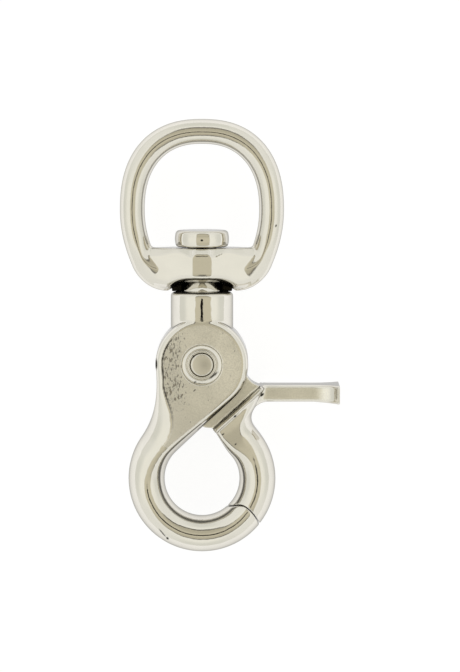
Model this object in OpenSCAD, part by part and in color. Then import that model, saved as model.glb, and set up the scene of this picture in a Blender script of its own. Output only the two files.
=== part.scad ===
// Swivel snap hook: a strap eye that turns on a headed stud, a cast hook body with two cheeks,
// and a sprung gate lever with a thumb tab that turns on a rivet between the cheeks.
// The hook lies on its back: X across towards the thumb tab, Y along towards the strap eye, Z up.
// The origin is on the pivot rivet's axis, in the plane of the cheeks' back face.

/* [Strap eye] */
// Width of the strap opening at its widest line
strap_w = 19; // [16:0.5:24]
// Height of the strap opening over the crossbar
strap_h = 17.2; // [14:0.2:22]
// Width of the ring's band, seen from the front
eye_band = 4.15; // [3.4:0.05:5]
// Thickness of the ring, front to back
eye_wire_t = 4.2; // [3.4:0.1:5.4]
// Height of the widest line over the crossbar
eye_waist = 6.2; // [5:0.1:8]
// Squareness of the ring's upper arch, where 2 is an ellipse
arch_power = 2.35; // [2:0.05:2.8]
// Height of the crossbar, from its top to its lowest corners
bar_h = 7.25; // [6:0.05:9]
// Depth of the crossbar at its middle, front to back
bar_t = 9.4; // [8:0.1:11]
// Width of the crossbar's flat middle facet
facet_w = 3; // [2:0.1:4]
// Fall of the crossbar's side facets, per millimetre across
facet_slope = 0.4; // [0.3:0.01:0.5]
// Height of the bevel on the crossbar's upper edges, at its middle
bar_bevel = 0.95; // [0.4:0.05:1.2]
// Rounding of the crossbar's lower edge, at its middle
bar_round = 1.25; // [0.8:0.05:1.5]
// Depth of the rounding that blends the crossbar's lower edge into the ring
bar_blend = 1.6; // [1.2:0.05:1.9]
// Rise of the arch under the crossbar
bar_arch = 1.7; // [0.8:0.1:2.2]
// Width of the arch under the crossbar
bar_arch_w = 11.4; // [10:0.1:13]

/* [Swivel stud] */
// Diameter of the stud's shank
stud_d = 4.8; // [4:0.1:5.4]
// Diameter of the stud's head
stud_head_d = 9; // [7.6:0.1:10]
// Height of the stud's head
stud_head_h = 2.75; // [2:0.05:3.4]
// Rounding of the head's upper edge
stud_head_r = 0.7; // [0.3:0.05:0.9]
// Diameter of the stud's flared foot on the barrel
stud_foot_d = 6.2; // [5.6:0.1:7]
// Depth of the stud's tail in the barrel
stud_tail = 4.1; // [3:0.1:4.3]

/* [Body] */
// Thickness of the body over the two cheeks
body_t = 10.6; // [10:0.1:12]
// Radius of the cheeks' round head about the pivot
head_r = 7.7; // [7.4:0.1:8.6]
// Rounding of the cheeks' rim
rim_r = 1.2; // [0.8:0.05:1.6]
// Height of the barrel's top over the pivot
barrel_top = 11.8; // [11.4:0.1:14]
// Step from the cheeks' faces down to the barrel's crest
barrel_step = 0.1; // [0.05:0.05:0.3]
// Chamfer of the barrel's top edge
barrel_chamfer = 0.5; // [0.2:0.1:0.9]

/* [Hook loop] */
// Distance from the pivot to the middle of the loop's round opening
loop_drop = 19.4; // [19.05:0.05:22.15]
// Radius of the loop's round opening
loop_r = 6.25; // [5.5:0.05:7]
// Width of the loop's band, seen from the front
loop_band = 6.05; // [5:0.05:7]
// Thickness of the loop, front to back
loop_t = 7.4; // [6:0.1:8.6]
// Distance from the loop's centre down to the arc on which the gate's end passes the nose
nose_drop = 5.05; // [4.6:0.05:5.6]
// Gap between the hook's nose and the gate's end
nose_gap = 0.12; // [0.08:0.01:0.25]

/* [Gate] */
// Distance from the pivot to the gate's shoulder
shoulder_r = 9.3; // [9.1:0.1:10.2]
// Length of the gate's shoulder
shoulder_l = 10.9; // [9.5:0.1:12]
// Thickness of the gate at its shoulder, front to back
shoulder_t = 10.2; // [8.6:0.1:10.8]
// Chamfer along the shoulder's edge
shoulder_chamfer = 0.65; // [0.3:0.05:0.9]
// Thickness of the tongue between the cheeks
tongue_t = 4.8; // [4.2:0.1:5.6]
// Radius of the tongue's round end about the pivot
tongue_r = 6.2; // [5.8:0.1:6.4]
// Clearance of the tongue in its slot, on each face and at its end
slot_gap = 0.1; // [0.05:0.01:0.2]
// Opening angle of the gate
gate_swing = 25; // [15:1:26]

/* [Thumb tab] */
// Reach of the tab's end from the pivot's axis
tab_reach = 22.9; // [20:0.1:25]
// Height of the tab's upper edge below the pivot
tab_top = 3.55; // [3.2:0.05:4]
// Height of the tab, upper to lower edge
tab_h = 2.85; // [2.2:0.05:3.4]
// Depth of the tab's stem, front to back
tab_stem_t = 5.4; // [4:0.1:7]
// Depth of the tab's flared end, front to back
tab_end_t = 9.4; // [7:0.1:10.4]
// Radius of the fillet under the tab's root
tab_fillet_r = 2.7; // [2.3:0.1:3.2]

/* [Pivot rivet] */
// Diameter of the pivot rivet
pivot_d = 3.8; // [3.2:0.1:4.2]
// Diameter of the countersink round the rivet's ends
pivot_sink_d = 6.5; // [5.6:0.1:7.2]
// Depth of that countersink
pivot_sink = 0.42; // [0.3:0.02:0.6]
// Radial clearance of the gate on the rivet and of the eye on the stud
run_gap = 0.05; // [0.02:0.01:0.1]

/* [Gate spring] */
// Diameter of the spring's wire
wire_d = 0.8; // [0.6:0.05:0.9]
// Mean radius of the spring's coil
coil_r = 2.75; // [2.6:0.05:3]
// Rise of the coil for each turn
coil_pitch = 0.9; // [0.85:0.01:1]

/* [Hidden] */
$fn = 64;

mid_z = body_t / 2;
quarter_steps = 5;
eye_steps = 12;
loop_steps = 32;

barrel_r = body_t / 2 - barrel_step;
pivot_r = pivot_d / 2;
stud_r = stud_d / 2;

// The eye lies a small gap above the barrel and below the stud's head
eye_gap = 0.15;
eye_bottom = barrel_top + eye_gap;
bar_top = eye_bottom + bar_h;
waist_y = bar_top + eye_waist;
head_seat = bar_top + eye_gap;
eye_in_w = strap_w / 2;
eye_out_w = eye_in_w + eye_band;
eye_in_h = strap_h - eye_waist;
eye_out_h = eye_in_h + eye_band;

// The nose keeps its distance from the loop's middle
nose_r = loop_drop + nose_drop;

// The loop's circles, and the line that touches both the cheeks' head and the loop's opening
loop_y = -loop_drop;
loop_out_r = loop_r + loop_band;
lean = asin((head_r + loop_r) / loop_drop);
lean_n = [cos(lean), -sin(lean)];
lean_top = head_r * lean_n;
lean_foot = [0, loop_y] - loop_r * lean_n;
apex_y = loop_y + loop_r / sin(lean);

// The tongue stands in a slot that leaves room for the whole swing
slot_t = tongue_t + 2 * slot_gap;
slot_r = tongue_r + 3 * slot_gap;
slot_reach = 2 * head_r;
tongue_rise = 22;
tongue_fall = 142;
slot_rise = tongue_rise + gate_swing + 2;

// The shoulder is a straight line square to this direction from the pivot
shoulder_dir = -47.5;
shoulder_n = [cos(shoulder_dir), sin(shoulder_dir)];
shoulder_t_dir = [-sin(shoulder_dir), cos(shoulder_dir)];
shoulder_share = 0.445;
shoulder_out = shoulder_r * shoulder_n + shoulder_share * shoulder_l * shoulder_t_dir;
shoulder_in = shoulder_out - shoulder_l * shoulder_t_dir;

// The fillet under the tab touches the tab's lower edge and the loop's outer circle
tab_low = -tab_top - tab_h;
fillet_y = tab_low - tab_fillet_r;
fillet_span = loop_out_r + tab_fillet_r;
fillet_x = sqrt(pow(fillet_span, 2) - pow(fillet_y - loop_y, 2));
fillet_end = atan2(fillet_y - loop_y, fillet_x);
fillet_c = [fillet_x, fillet_y];

// The spring's pocket in the tongue, and where its moving and its fixed leg leave the coil
coil_gap = 0.2;
coil_cover = 0.25;
pocket_r = coil_r + wire_d / 2 + coil_gap;
leg_in_at = 220;
leg_out_at = 305;
coil_turns = 3 + (leg_in_at - leg_out_at) / 360;
coil_high = mid_z + tongue_t / 2 - coil_cover - wire_d / 2;
coil_low = coil_high - coil_turns * coil_pitch;
pocket_floor = coil_low - wire_d / 2 - coil_gap / 2;
leg_in_dir = leg_in_at + 90;
leg_out_dir = leg_out_at - 90;
leg_in_l = 6.2;
leg_out_l = 8.2;
leg_gap = 0.15;
leg_seat_gap = 0.02;

function bezier(p, t) = pow(1 - t, 3) * p[0] + 3 * t * pow(1 - t, 2) * p[1]
    + 3 * t * t * (1 - t) * p[2] + pow(t, 3) * p[3];
function polar(r, a) = [r * cos(a), r * sin(a)];
function unit(v) = v / norm(v);
function turned(v) = [-v[1], v[0]];
function mix(a, b, t) = a + (b - a) * t;
function ease(t) = t * t * (3 - 2 * t);
function backwards(list) = [for (i = [len(list) - 1 : -1 : 0]) list[i]];

// Outward normals along an outline, where side is 1 or -1
function normals(line, side) = [for (i = [0 : len(line) - 1])
    side * turned(unit(line[min(i + 1, len(line) - 1)] - line[max(i - 1, 0)]))];

// One side of a section: a quarter round above the wall and one below it
function side_points(p, n, half, inset, drop, from, to) = [for (part = [0 : 1])
    for (j = [0 : quarter_steps])
        let (up = from > 0 ? 1 - part : part)
        let (a = up == 1 ? mix(max(from, 0), max(to, 0), j / quarter_steps)
            : mix(min(from, 0), min(to, 0), j / quarter_steps))
        let (z = (up == 1 ? 1 : -1) * (half - drop) + drop * sin(a))
        [p[0] - n[0] * inset * (1 - cos(a)), p[1] - n[1] * inset * (1 - cos(a)), mid_z + z]];

// A section from point a to point b, rounded towards its front and back faces.
// Each side has its outward normal and the width of its rounding.
function section(a, na, width_a, b, nb, width_b, half, drop) = concat(
    side_points(b, nb, half, width_b, drop, 90, -90),
    side_points(a, na, half, width_a, drop, -90, 90));

// A skin over sections of equal length, closed into a ring or capped at both ends
module skin(rings, ring = false) {
    count = len(rings[0]);
    last = len(rings) - 1;
    points = [for (r = rings) for (p = r) p];
    sides = [for (k = [0 : ring ? last : last - 1]) for (j = [0 : count - 1])
        let (k2 = (k + 1) % len(rings), j2 = (j + 1) % count)
        for (f = [0 : 1])
            f == 0 ? [k * count + j, k2 * count + j, k * count + j2]
                : [k2 * count + j, k2 * count + j2, k * count + j2]];
    first_cap = [for (j = [1 : count - 2]) [0, j, j + 1]];
    last_cap = [for (j = [1 : count - 2]) [last * count, last * count + j + 1, last * count + j]];
    polyhedron(points, ring ? sides : concat(sides, first_cap, last_cap));
}

// The eye's right half: pairs of outer and inner points from the top down to the middle below
eye_corner = [eye_out_w - 2.1, eye_bottom + 4.05];
arch_half = bar_arch_w / 2;
arch_r = (pow(arch_half, 2) + pow(bar_arch, 2)) / (2 * bar_arch);
arch_y = eye_bottom + bar_arch - arch_r;
eye_side_out = [[eye_out_w, waist_y], [eye_out_w, waist_y - 3.9],
    [eye_corner[0] + 1, eye_corner[1] + 2.4], eye_corner];
eye_corner_out = [eye_corner, eye_corner - [0.7, 1.7], [arch_half + 3.1, eye_bottom],
    [arch_half, eye_bottom]];
eye_side_in = [[eye_in_w, waist_y], [eye_in_w, waist_y - 2.6],
    [eye_in_w - 0.6, bar_top + 1.6], [eye_in_w - 1.05, bar_top + 0.3]];
eye_corner_in = [[eye_in_w - 1.05, bar_top + 0.3], [eye_in_w - 1.25, bar_top],
    [eye_in_w - 1.8, bar_top], [arch_half, bar_top]];

function arch_point(w, h, a) = [w * pow(cos(a), 2 / arch_power), waist_y + h * pow(sin(a), 2 / arch_power)];
function bar_under(x) = arch_y + sqrt(arch_r * arch_r - x * x);

eye_out_half = concat(
    [for (i = [0 : eye_steps]) arch_point(eye_out_w, eye_out_h, 90 - 90 * i / eye_steps)],
    [for (i = [1 : 4]) bezier(eye_side_out, i / 4)],
    [for (i = [1 : 6]) bezier(eye_corner_out, i / 6)],
    [for (x = [0.75, 0.5, 0.25]) [x * arch_half, bar_under(x * arch_half)]]);
eye_in_half = concat(
    [for (i = [0 : eye_steps]) arch_point(eye_in_w, eye_in_h, 90 - 90 * i / eye_steps)],
    [for (i = [1 : 4]) bezier(eye_side_in, i / 4)],
    [for (i = [1 : 6]) bezier(eye_corner_in, i / 6)],
    [for (x = [0.75, 0.5, 0.25]) [x * arch_half, bar_top]]);

function around(half, middle) = concat(half, [middle],
    backwards([for (i = [1 : len(half) - 1]) [-half[i][0], half[i][1]]]));

eye_out = around(eye_out_half, [0, bar_under(0)]);
eye_in = around(eye_in_half, [0, bar_top]);

// The ring is round in section all the way, also where it runs below the crossbar's facets
function eye_section(i) = let (
    a = eye_out[i],
    b = eye_in[i],
    straight = unit(a - b),
    inset = 0.96 * norm(a - b) / 2,
    half = eye_wire_t / 2)
    section(a, straight, inset, b, -straight, inset, half, 0.96 * half);

// The crossbar's section at a place across: a flat facet with a bevel above and a rounding below.
// The facets fall away to both sides until they dip under the ring, and so does the lower edge.
bevel_run = 1.7;
bevel_least = 0.1;
bevel_fall = 0.56;
bevel_rise = 0.12;
bar_reach = eye_in_w + 0.3;
bar_end = 5;
bar_lift = 0.3;
bar_curl = 0.09;
bar_edge = 0.65;
function facet_half(x) = bar_t / 2 - facet_slope * max(0, abs(x) - facet_w / 2);
function out_share(x) = ease(min(1, abs(x) / arch_half));
function bar_low(x) = abs(x) < arch_half ? bar_under(x) + bar_lift * out_share(x)
    : eye_bottom + bar_lift + bar_curl * pow(abs(x) - arch_half, 2);
function bar_half_section(x) = let (
    half = facet_half(x),
    bevel = max(bevel_least, bar_bevel - bevel_fall * (bar_t / 2 - half)) + bevel_rise * max(0, abs(x) - bar_end),
    rise = mix(bar_round, bar_blend, out_share(x)),
    depth = mix(bar_round, half - bar_edge, out_share(x)),
    low = bar_low(x) + 0.02)
    concat([[bar_top, half - bevel_run * bevel], [bar_top - bevel, half]],
        [for (j = [0 : quarter_steps]) let (a = 90 * j / quarter_steps)
            [low + rise * (1 - sin(a)), half - depth * (1 - cos(a))]]);
function bar_section(x) = let (front = bar_half_section(x))
    concat([for (p = backwards(front)) [x, p[0], mid_z + p[1]]], [for (p = front) [x, p[0], mid_z - p[1]]]);
bar_places = [for (t = [1, 0.91, 0.82, 0.73, 0.64, 0.55, 0.46, 0.37, 0.26]) t * bar_reach];

// Behind the stud's neck a half collar closes the arch down to the barrel
collar_in = stud_foot_d / 2 + 0.3;
collar_out = barrel_r - 0.05;
collar_cut = 0.8;
module back_collar() {
    intersection() {
        translate([0, 0, mid_z])
            rotate([-90, 0, 0])
                rotate_extrude()
                    polygon([[collar_in, eye_bottom], [collar_out, eye_bottom],
                        [collar_out, eye_bottom + bar_h / 2], [collar_in, eye_bottom + bar_h / 2]]);
        translate([-body_t, 0, -1])
            cube([2 * body_t, bar_top, mid_z + 1 - collar_cut]);
    }
}

module swivel_eye() {
    color("lightgray")
    difference() {
        union() {
            skin([for (i = [0 : len(eye_out) - 1]) eye_section(i)], ring = true);
            skin([for (x = concat(bar_places, [facet_w / 2, -facet_w / 2], -backwards(bar_places)))
                bar_section(x)]);
            back_collar();
        }
        translate([0, eye_bottom - 1, mid_z])
            rotate([-90, 0, 0])
                cylinder(h = bar_h + 2, r = stud_r + run_gap);
    }
}

// The stud is turned: tail, flared foot, shank and round head
module swivel_stud() {
    foot_top = bar_under(0) - eye_gap;
    cap_r = stud_head_d / 2;
    round_steps = 6;
    profile = concat(
        [[0, barrel_top - stud_tail], [stud_r - 0.3, barrel_top - stud_tail],
        [stud_r, barrel_top - stud_tail + 0.3], [stud_r, barrel_top], [stud_foot_d / 2, barrel_top],
        [stud_foot_d / 2, barrel_top + 0.3], [stud_r, foot_top], [stud_r, head_seat],
        [cap_r - 0.2, head_seat], [cap_r, head_seat + 0.2]],
        [for (j = [0 : round_steps]) [cap_r - stud_head_r, head_seat + stud_head_h - stud_head_r]
            + polar(stud_head_r, 90 * j / round_steps)],
        [[0, head_seat + stud_head_h]]);
    color("silver")
    translate([0, 0, mid_z])
        rotate([-90, 0, 0])
            rotate_extrude()
                polygon(profile);
}

// The line where nose and gate meet, from inside the loop outwards, moved by a gap to the gate's side
nose_start = 14.2;
nose_p = [nose_r * sin(nose_start), -nose_r * cos(nose_start)];
nose_t = [cos(nose_start), sin(nose_start)];
nose_curve = [nose_p, nose_p + 0.25 * loop_band * nose_t, nose_p + loop_band * [0.48, -0.256],
    nose_p + loop_band * [0.595, -0.57]];
nose_line = concat(
    [for (a = [4 : 2 : 14]) [nose_r * sin(a), -nose_r * cos(a)]],
    [for (i = [0 : 14]) bezier(nose_curve, i / 14)],
    [nose_p + loop_band * [0.76, -1.025]]);
nose_line_n = normals(nose_line, 1);
function joint_line(gap) = [for (i = [0 : len(nose_line) - 1]) nose_line[i] + gap * nose_line_n[i]];

// Hook and gate both run a little past the nose, about the loop's centre, and are cut along that line
nose_dir = atan2(nose_p[1] - loop_y, nose_p[0]);
nose_end = 360 + nose_dir + 12;
arm_tip = nose_dir - 14;

// Left and right outlines of the hook, station by station from the head's top to the nose
spine_foot = 145;
spine = [[-head_r, 0], head_r * [-0.922, -0.714], head_r * [-1.039, -1.208],
    polar(loop_out_r, spine_foot) + [0, loop_y]];
arc_l = PI * head_r * (90 - lean) / 180;
lean_l = norm(lean_foot - lean_top);
function inner_edge(s) = s < arc_l ? polar(head_r, -(90 - lean) * s / arc_l)
    : mix(lean_top, lean_foot, (s - arc_l) / lean_l);
spine_steps = 16;
foot_a = 90 + lean;

hook_left = concat(
    [for (i = [0 : spine_steps]) bezier(spine, i / spine_steps)],
    [for (i = [1 : loop_steps]) polar(loop_out_r, mix(spine_foot, nose_end, i / loop_steps)) + [0, loop_y]]);
hook_right = concat(
    [for (i = [0 : spine_steps]) inner_edge((arc_l + lean_l) * i / spine_steps)],
    [for (i = [1 : loop_steps]) polar(loop_r, mix(foot_a, nose_end, i / loop_steps)) + [0, loop_y]]);

// The cheeks' flat faces narrow to a point at the foot of the spine, where the loop's round section begins
function hook_round(i) = ease(min(1, max(0, (i - 3) / (spine_steps - 2))));
function hook_thin(i) = ease(min(1, max(0, (i - 7) / (spine_steps + 1))));
function crest_share(i) = mix(0.68, 0.5, ease(min(1, max(0, (i - spine_steps) / 9))));

hook_left_n = normals(hook_left, -1);
hook_right_n = normals(hook_right, 1);
function rim_width(n, straight, band) = min(0.45 * band, rim_r / max(0.4, abs(n * straight)));
function hook_section(i) = let (
    straight = unit(hook_left[i] - hook_right[i]),
    band = norm(hook_left[i] - hook_right[i]),
    round = hook_round(i),
    left = mix(rim_width(hook_left_n[i], straight, band), 0.94 * crest_share(i) * band, round),
    right = mix(rim_width(hook_right_n[i], straight, band), 0.94 * (1 - crest_share(i)) * band, pow(round, 3)),
    half = mix(body_t / 2, loop_t / 2, hook_thin(i)),
    drop = mix(rim_r, 0.93 * half, round))
    section(hook_right[i], -straight, right, hook_left[i], straight, left, half, drop);

// The upper half of the cheeks' round head, in layers that meet the hook's first section point for point
head_steps = 30;
head_half = [for (p = side_points([head_r, 0], [1, 0], body_t / 2, rim_r, rim_r, -90, 90)) [p[0], p[2]]];
module cheek_head() {
    skin([for (p = head_half) [for (i = [0 : head_steps]) concat(polar(p[0], 180 * i / head_steps), [p[1]])]]);
}

module gate_side(gap) {
    linear_extrude(height = body_t + 2)
        polygon(concat(joint_line(gap), [[2 * loop_out_r, nose_p[1] - loop_band],
            [2 * loop_out_r, loop_y + loop_r / 3], [loop_r / 3, loop_y + loop_r / 3]]));
}

module hook_side(gap) {
    linear_extrude(height = body_t + 2)
        polygon(concat(joint_line(gap), [[loop_out_r, 2 * loop_y], [-2 * loop_out_r, 2 * loop_y],
            [-2 * loop_out_r, loop_y - loop_r / 3]]));
}

// The slot: a round end about the pivot, and two straight walls that open towards the gate
module slot_outline() {
    circle(slot_r);
    polygon([polar(slot_r, slot_rise), polar(slot_r, slot_rise) + polar(slot_reach, slot_rise - 90),
        polar(1.3 * slot_reach, shoulder_dir),
        polar(slot_r, -tongue_fall) + polar(slot_reach, 90 - tongue_fall), polar(slot_r, -tongue_fall)]);
}

// The tongue: a round end, and a web that sweeps up to the tab and reaches into the shoulder
tongue_root = 1.2;
tongue_start = polar(head_r, -14);
tongue_end = shoulder_out + tongue_root * (shoulder_n / 8 - shoulder_t_dir / 15);
tongue_edge = [tongue_start, tongue_start + tongue_root * [0.2, -0.85], tongue_end + tongue_root * [-0.85, 0.1],
    tongue_end];
module tongue_plate() {
    circle(tongue_r);
    polygon(concat([polar(tongue_r, tongue_rise)],
        [for (i = [0 : 6]) bezier(tongue_edge, i / 6)],
        [shoulder_out + tongue_root * (shoulder_n - 0.4 * shoulder_t_dir),
        shoulder_in + tongue_root * (shoulder_n + 0.4 * shoulder_t_dir),
        shoulder_in + tongue_root * (0.17 * shoulder_n + 0.3 * shoulder_t_dir),
        [tongue_root / 5, apex_y + tongue_root / 24], polar(tongue_r, -tongue_fall)]));
}

module turned_cut(profile) {
    rotate_extrude()
        polygon(profile);
}

// Countersink of a rivet end, on the back face; the front one is its mirror image
sink_profile = [[0, -1], [pivot_sink_d / 2 + 0.05, -1], [pivot_sink_d / 2 + 0.05, 0],
    [pivot_sink_d / 2, 0], [pivot_sink_d / 2 - 0.35, pivot_sink / 2],
    [pivot_r + 0.75, pivot_sink / 2], [pivot_r + 0.35, pivot_sink], [0, pivot_sink]];

module both_faces() {
    children();
    translate([0, 0, body_t])
        mirror([0, 0, 1])
            children();
}

module leg_rod(start, dir, length, z, r) {
    translate([coil_r * cos(start), coil_r * sin(start), z])
        rotate([0, 90, dir])
            cylinder(h = length, r = r, $fn = 24);
}

module hook_body() {
    color("gainsboro")
    difference() {
        union() {
            skin([for (i = [0 : len(hook_left) - 1]) hook_section(i)]);
            cheek_head();
            translate([0, 0, mid_z])
                rotate([-90, 0, 0])
                    rotate_extrude()
                        polygon([[0, head_r / 2], [barrel_r, head_r / 2],
                            [barrel_r, barrel_top - barrel_chamfer],
                            [barrel_r - barrel_chamfer, barrel_top], [0, barrel_top]]);
        }
        translate([0, 0, mid_z - slot_t / 2])
            linear_extrude(height = slot_t)
                slot_outline();
        translate([0, 0, -1])
            cylinder(h = body_t + 2, r = pivot_r);
        both_faces() turned_cut(sink_profile);
        translate([0, barrel_top - stud_tail - 0.1, mid_z])
            rotate([-90, 0, 0])
                cylinder(h = stud_tail + 1, r = stud_r);
        leg_rod(leg_out_at, leg_out_dir, leg_out_l + leg_gap, coil_high, wire_d / 2 + leg_gap);
        translate([0, 0, -1])
            gate_side(0);
    }
}

module pivot_rivet() {
    dish_r = pivot_r * 0.7;
    top = body_t - 0.12;
    color("darkgray")
    rotate_extrude()
        polygon([[0, 0], [pivot_r - 0.15, 0], [pivot_r, 0.15], [pivot_r, top - 0.15],
            [pivot_r - 0.15, top], [dish_r, top], [dish_r * 0.6, top - 0.12], [0, top - 0.18]]);
}

// The arm's inner and outer outlines: the shoulder's proud flange, the root, then the loop to the tip
arm_root_steps = 9;
arm_loop_steps = 18;
flange_step = 0.3;
flange_round = 0.8;
flange_foot = 5;
mirror_foot = [-lean_foot[0], lean_foot[1]];
flange_lines = [for (d = [0, shoulder_chamfer, shoulder_chamfer + 0.12]) d * shoulder_n];
root_in = shoulder_in + flange_lines[2];
root_out = shoulder_out + flange_lines[2];
fillet_root = fillet_c - tab_fillet_r * shoulder_n;
arm_root_out = concat([for (t = [1 : 2]) mix(root_out, fillet_root, t / 3)],
    [for (i = [0 : arm_root_steps]) fillet_c
        + polar(tab_fillet_r, mix(180 + shoulder_dir, 180 + fillet_end, i / arm_root_steps))]);
root_span = (mirror_foot - root_in) * shoulder_n;
arm_out = concat(
    [for (d = flange_lines) shoulder_out + d],
    arm_root_out,
    [for (i = [1 : arm_loop_steps]) [0, loop_y]
        + polar(loop_out_r, mix(fillet_end, arm_tip, i / arm_loop_steps))]);
arm_in = concat(
    [for (d = flange_lines) shoulder_in + d],
    [for (p = arm_root_out) mix(root_in, mirror_foot, min(1, ((p - root_in) * shoulder_n) / root_span))],
    [for (i = [1 : arm_loop_steps]) [0, loop_y]
        + polar(loop_r, mix(90 - lean, arm_tip, i / arm_loop_steps))]);

// Below the flange the arm is roofed, with a ridge that runs down into the loop's round section
arm_foot = flange_foot + arm_root_steps;
function arm_section(i) = let (
    straight = unit(arm_out[i] - arm_in[i]),
    band = norm(arm_out[i] - arm_in[i]),
    flange = i < 2,
    along = i < arm_foot ? max(0, (arm_out[i] - root_out) * shoulder_n / root_span) : 1,
    later = min(1, max(0, (i - arm_foot) / 6)),
    root_half = shoulder_t / 2 - flange_step,
    half = i == 0 ? shoulder_t / 2 - shoulder_chamfer : flange ? shoulder_t / 2
        : mix(root_half, loop_t / 2, ease(mix(0.7 * along, 1, later))),
    ridge = mix(0.55, 0.5, min(1, 2 * along)),
    round = flange ? 0 : mix(0.7, 1, ease(min(1, along))),
    drop = mix(flange_round, 0.93 * half, round))
    section(arm_out[i], straight, mix(flange_round, 0.92 * ridge * band, round),
        arm_in[i], -straight, mix(flange_round, 0.92 * (1 - ridge) * band, round), half, drop);

// The tab's stations: its upper and lower edge, and its depth front to back.
// The first ones grow out of the arm's root along the fillet, the last ones flare like a paddle.
tab_flare = 4.4;
tab_end_x = tab_reach - tab_flare;
root_buttress = 1.2;
tab_round = 0.7;
tab_root_stations = [for (i = [0 : 5]) let (t = i / 5)
    [i == 0 ? shoulder_out + [0.07, -0.12] : [mix(shoulder_out[0] + 0.2, fillet_x, t), -tab_top],
    i == 0 ? fillet_root - [0.9, 0.5] : fillet_c + polar(tab_fillet_r, mix(126, 90, (i - 1) / 4)),
    tab_stem_t + root_buttress * pow(1 - t, 2)]];
tab_stem_stations = [for (t = [0.3, 0.65, 1]) let (x = mix(fillet_x, tab_end_x, t))
    [[x, -tab_top], [x, tab_low], tab_stem_t]];
tab_end_stations = [for (t = [0.2 : 0.2 : 0.8]) let (x = tab_end_x + t * tab_flare)
    [[x, -tab_top], [x, tab_low - 0.3 * t], mix(tab_stem_t, tab_end_t, 1 - sqrt(1 - t * t))]];
tab_tip_stations = [[[tab_reach - 0.35, -tab_top], [tab_reach - 0.35, tab_low - 0.3], tab_end_t],
    [[tab_reach, -tab_top - 0.05], [tab_reach, tab_low + 0.05], tab_end_t - 0.7]];
tab_all = concat(tab_root_stations, tab_stem_stations, tab_end_stations, tab_tip_stations);
function tab_section(s) = let (straight = unit(s[0] - s[1]))
    section(s[0], straight, tab_round, s[1], -straight, tab_round, s[2] / 2, tab_round);

module gate_lever() {
    color("whitesmoke")
    difference() {
        union() {
            translate([0, 0, mid_z - tongue_t / 2])
                linear_extrude(height = tongue_t)
                    tongue_plate();
            skin([for (i = [0 : len(arm_out) - 1]) arm_section(i)]);
            skin([for (s = tab_all) tab_section(s)]);
        }
        translate([0, 0, -1])
            cylinder(h = body_t + 2, r = pivot_r + run_gap);
        translate([0, 0, pocket_floor])
            cylinder(h = body_t, r = pocket_r);
        spring_room();
        translate([0, 0, -1])
            hook_side(nose_gap);
    }
}

// Room in the tongue for the spring's fixed leg over the swing, and a groove for its moving leg
module spring_room() {
    room_r = wire_d / 2 + leg_gap;
    shut = polar(coil_r + room_r, leg_out_at);
    open = polar(coil_r - room_r, leg_out_at - gate_swing);
    translate([0, 0, coil_high - room_r])
        linear_extrude(height = body_t)
            polygon([shut, open, open + polar(leg_out_l, leg_out_dir - gate_swing),
                shut + polar(leg_out_l, leg_out_dir)]);
    leg_rod(leg_in_at, leg_in_dir, leg_in_l + leg_gap, coil_low, wire_d / 2 + leg_seat_gap);
}

// The wire's middle line: moving leg, coil wound clockwise as it rises, fixed leg
coil_sides = 8;
coil_seg = 18;
coil_count = ceil(coil_turns * coil_seg);
coil_path = concat(
    [concat(polar(coil_r, leg_in_at) + polar(leg_in_l, leg_in_dir), [coil_low])],
    [for (i = [0 : coil_count]) let (a = leg_in_at - 360 * coil_turns * i / coil_count)
        [coil_r * cos(a), coil_r * sin(a), coil_low + coil_pitch * coil_turns * i / coil_count]],
    [concat(polar(coil_r, leg_out_at) + polar(leg_out_l, leg_out_dir), [coil_high])]);

function wire_ring(i) = let (
    last = len(coil_path) - 1,
    t = coil_path[min(i + 1, last)] - coil_path[max(i - 1, 0)],
    side = unit(cross(t, [0, 0, 1])),
    up = unit(cross(side, t)))
    [for (j = [0 : coil_sides - 1]) coil_path[i]
        + wire_d / 2 * (cos(360 * j / coil_sides) * side + sin(360 * j / coil_sides) * up)];

module gate_spring() {
    color("dimgray")
    skin([for (i = [0 : len(coil_path) - 1]) wire_ring(i)]);
}

hook_body();
swivel_stud();
swivel_eye();
gate_lever();
pivot_rivet();
gate_spring();
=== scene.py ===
"""Looks of a swivel snap hook: three bright nickel-plated castings on two turned rivets.

Sizes and places are in mm and angles in degrees, except in meshes and materials, which are in metres.
"""

from __future__ import annotations

import logging
import math
from dataclasses import dataclass, field
from enum import Enum
from typing import Callable, Sequence

import bmesh
import bpy
import numpy as np
from bmesh.types import BMesh
from bpy.types import Material, Mesh, Node, NodeSocket, Object, World
from mathutils import Matrix, Vector

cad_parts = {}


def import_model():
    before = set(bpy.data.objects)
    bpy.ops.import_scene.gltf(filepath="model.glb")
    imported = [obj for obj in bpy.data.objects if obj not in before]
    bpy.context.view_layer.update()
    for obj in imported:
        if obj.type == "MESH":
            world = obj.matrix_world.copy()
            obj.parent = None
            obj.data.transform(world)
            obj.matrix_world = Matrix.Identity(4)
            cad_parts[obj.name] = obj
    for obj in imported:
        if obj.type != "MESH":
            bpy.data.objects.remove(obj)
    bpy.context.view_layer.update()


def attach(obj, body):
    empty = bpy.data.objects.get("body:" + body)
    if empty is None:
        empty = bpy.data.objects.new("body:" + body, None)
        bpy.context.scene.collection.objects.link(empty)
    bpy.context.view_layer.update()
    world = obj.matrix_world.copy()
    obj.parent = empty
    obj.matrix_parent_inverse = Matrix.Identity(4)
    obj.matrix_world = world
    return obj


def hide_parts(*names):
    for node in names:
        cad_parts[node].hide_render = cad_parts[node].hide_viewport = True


LOG = logging.getLogger("snap_hook")
MM = 0.001
MERGE = 2e-8  # Points closer than this, in metres, are one.
OVER = 1.0  # How far a cutting tool reaches past the metal.
QUARTER = 14  # Steps in a quarter of a casting's rounded side.
PICTURE = (460, 672)  # The picture's width and height in pixels.

Point = tuple[float, float, float]
Flat = tuple[float, float]


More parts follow.
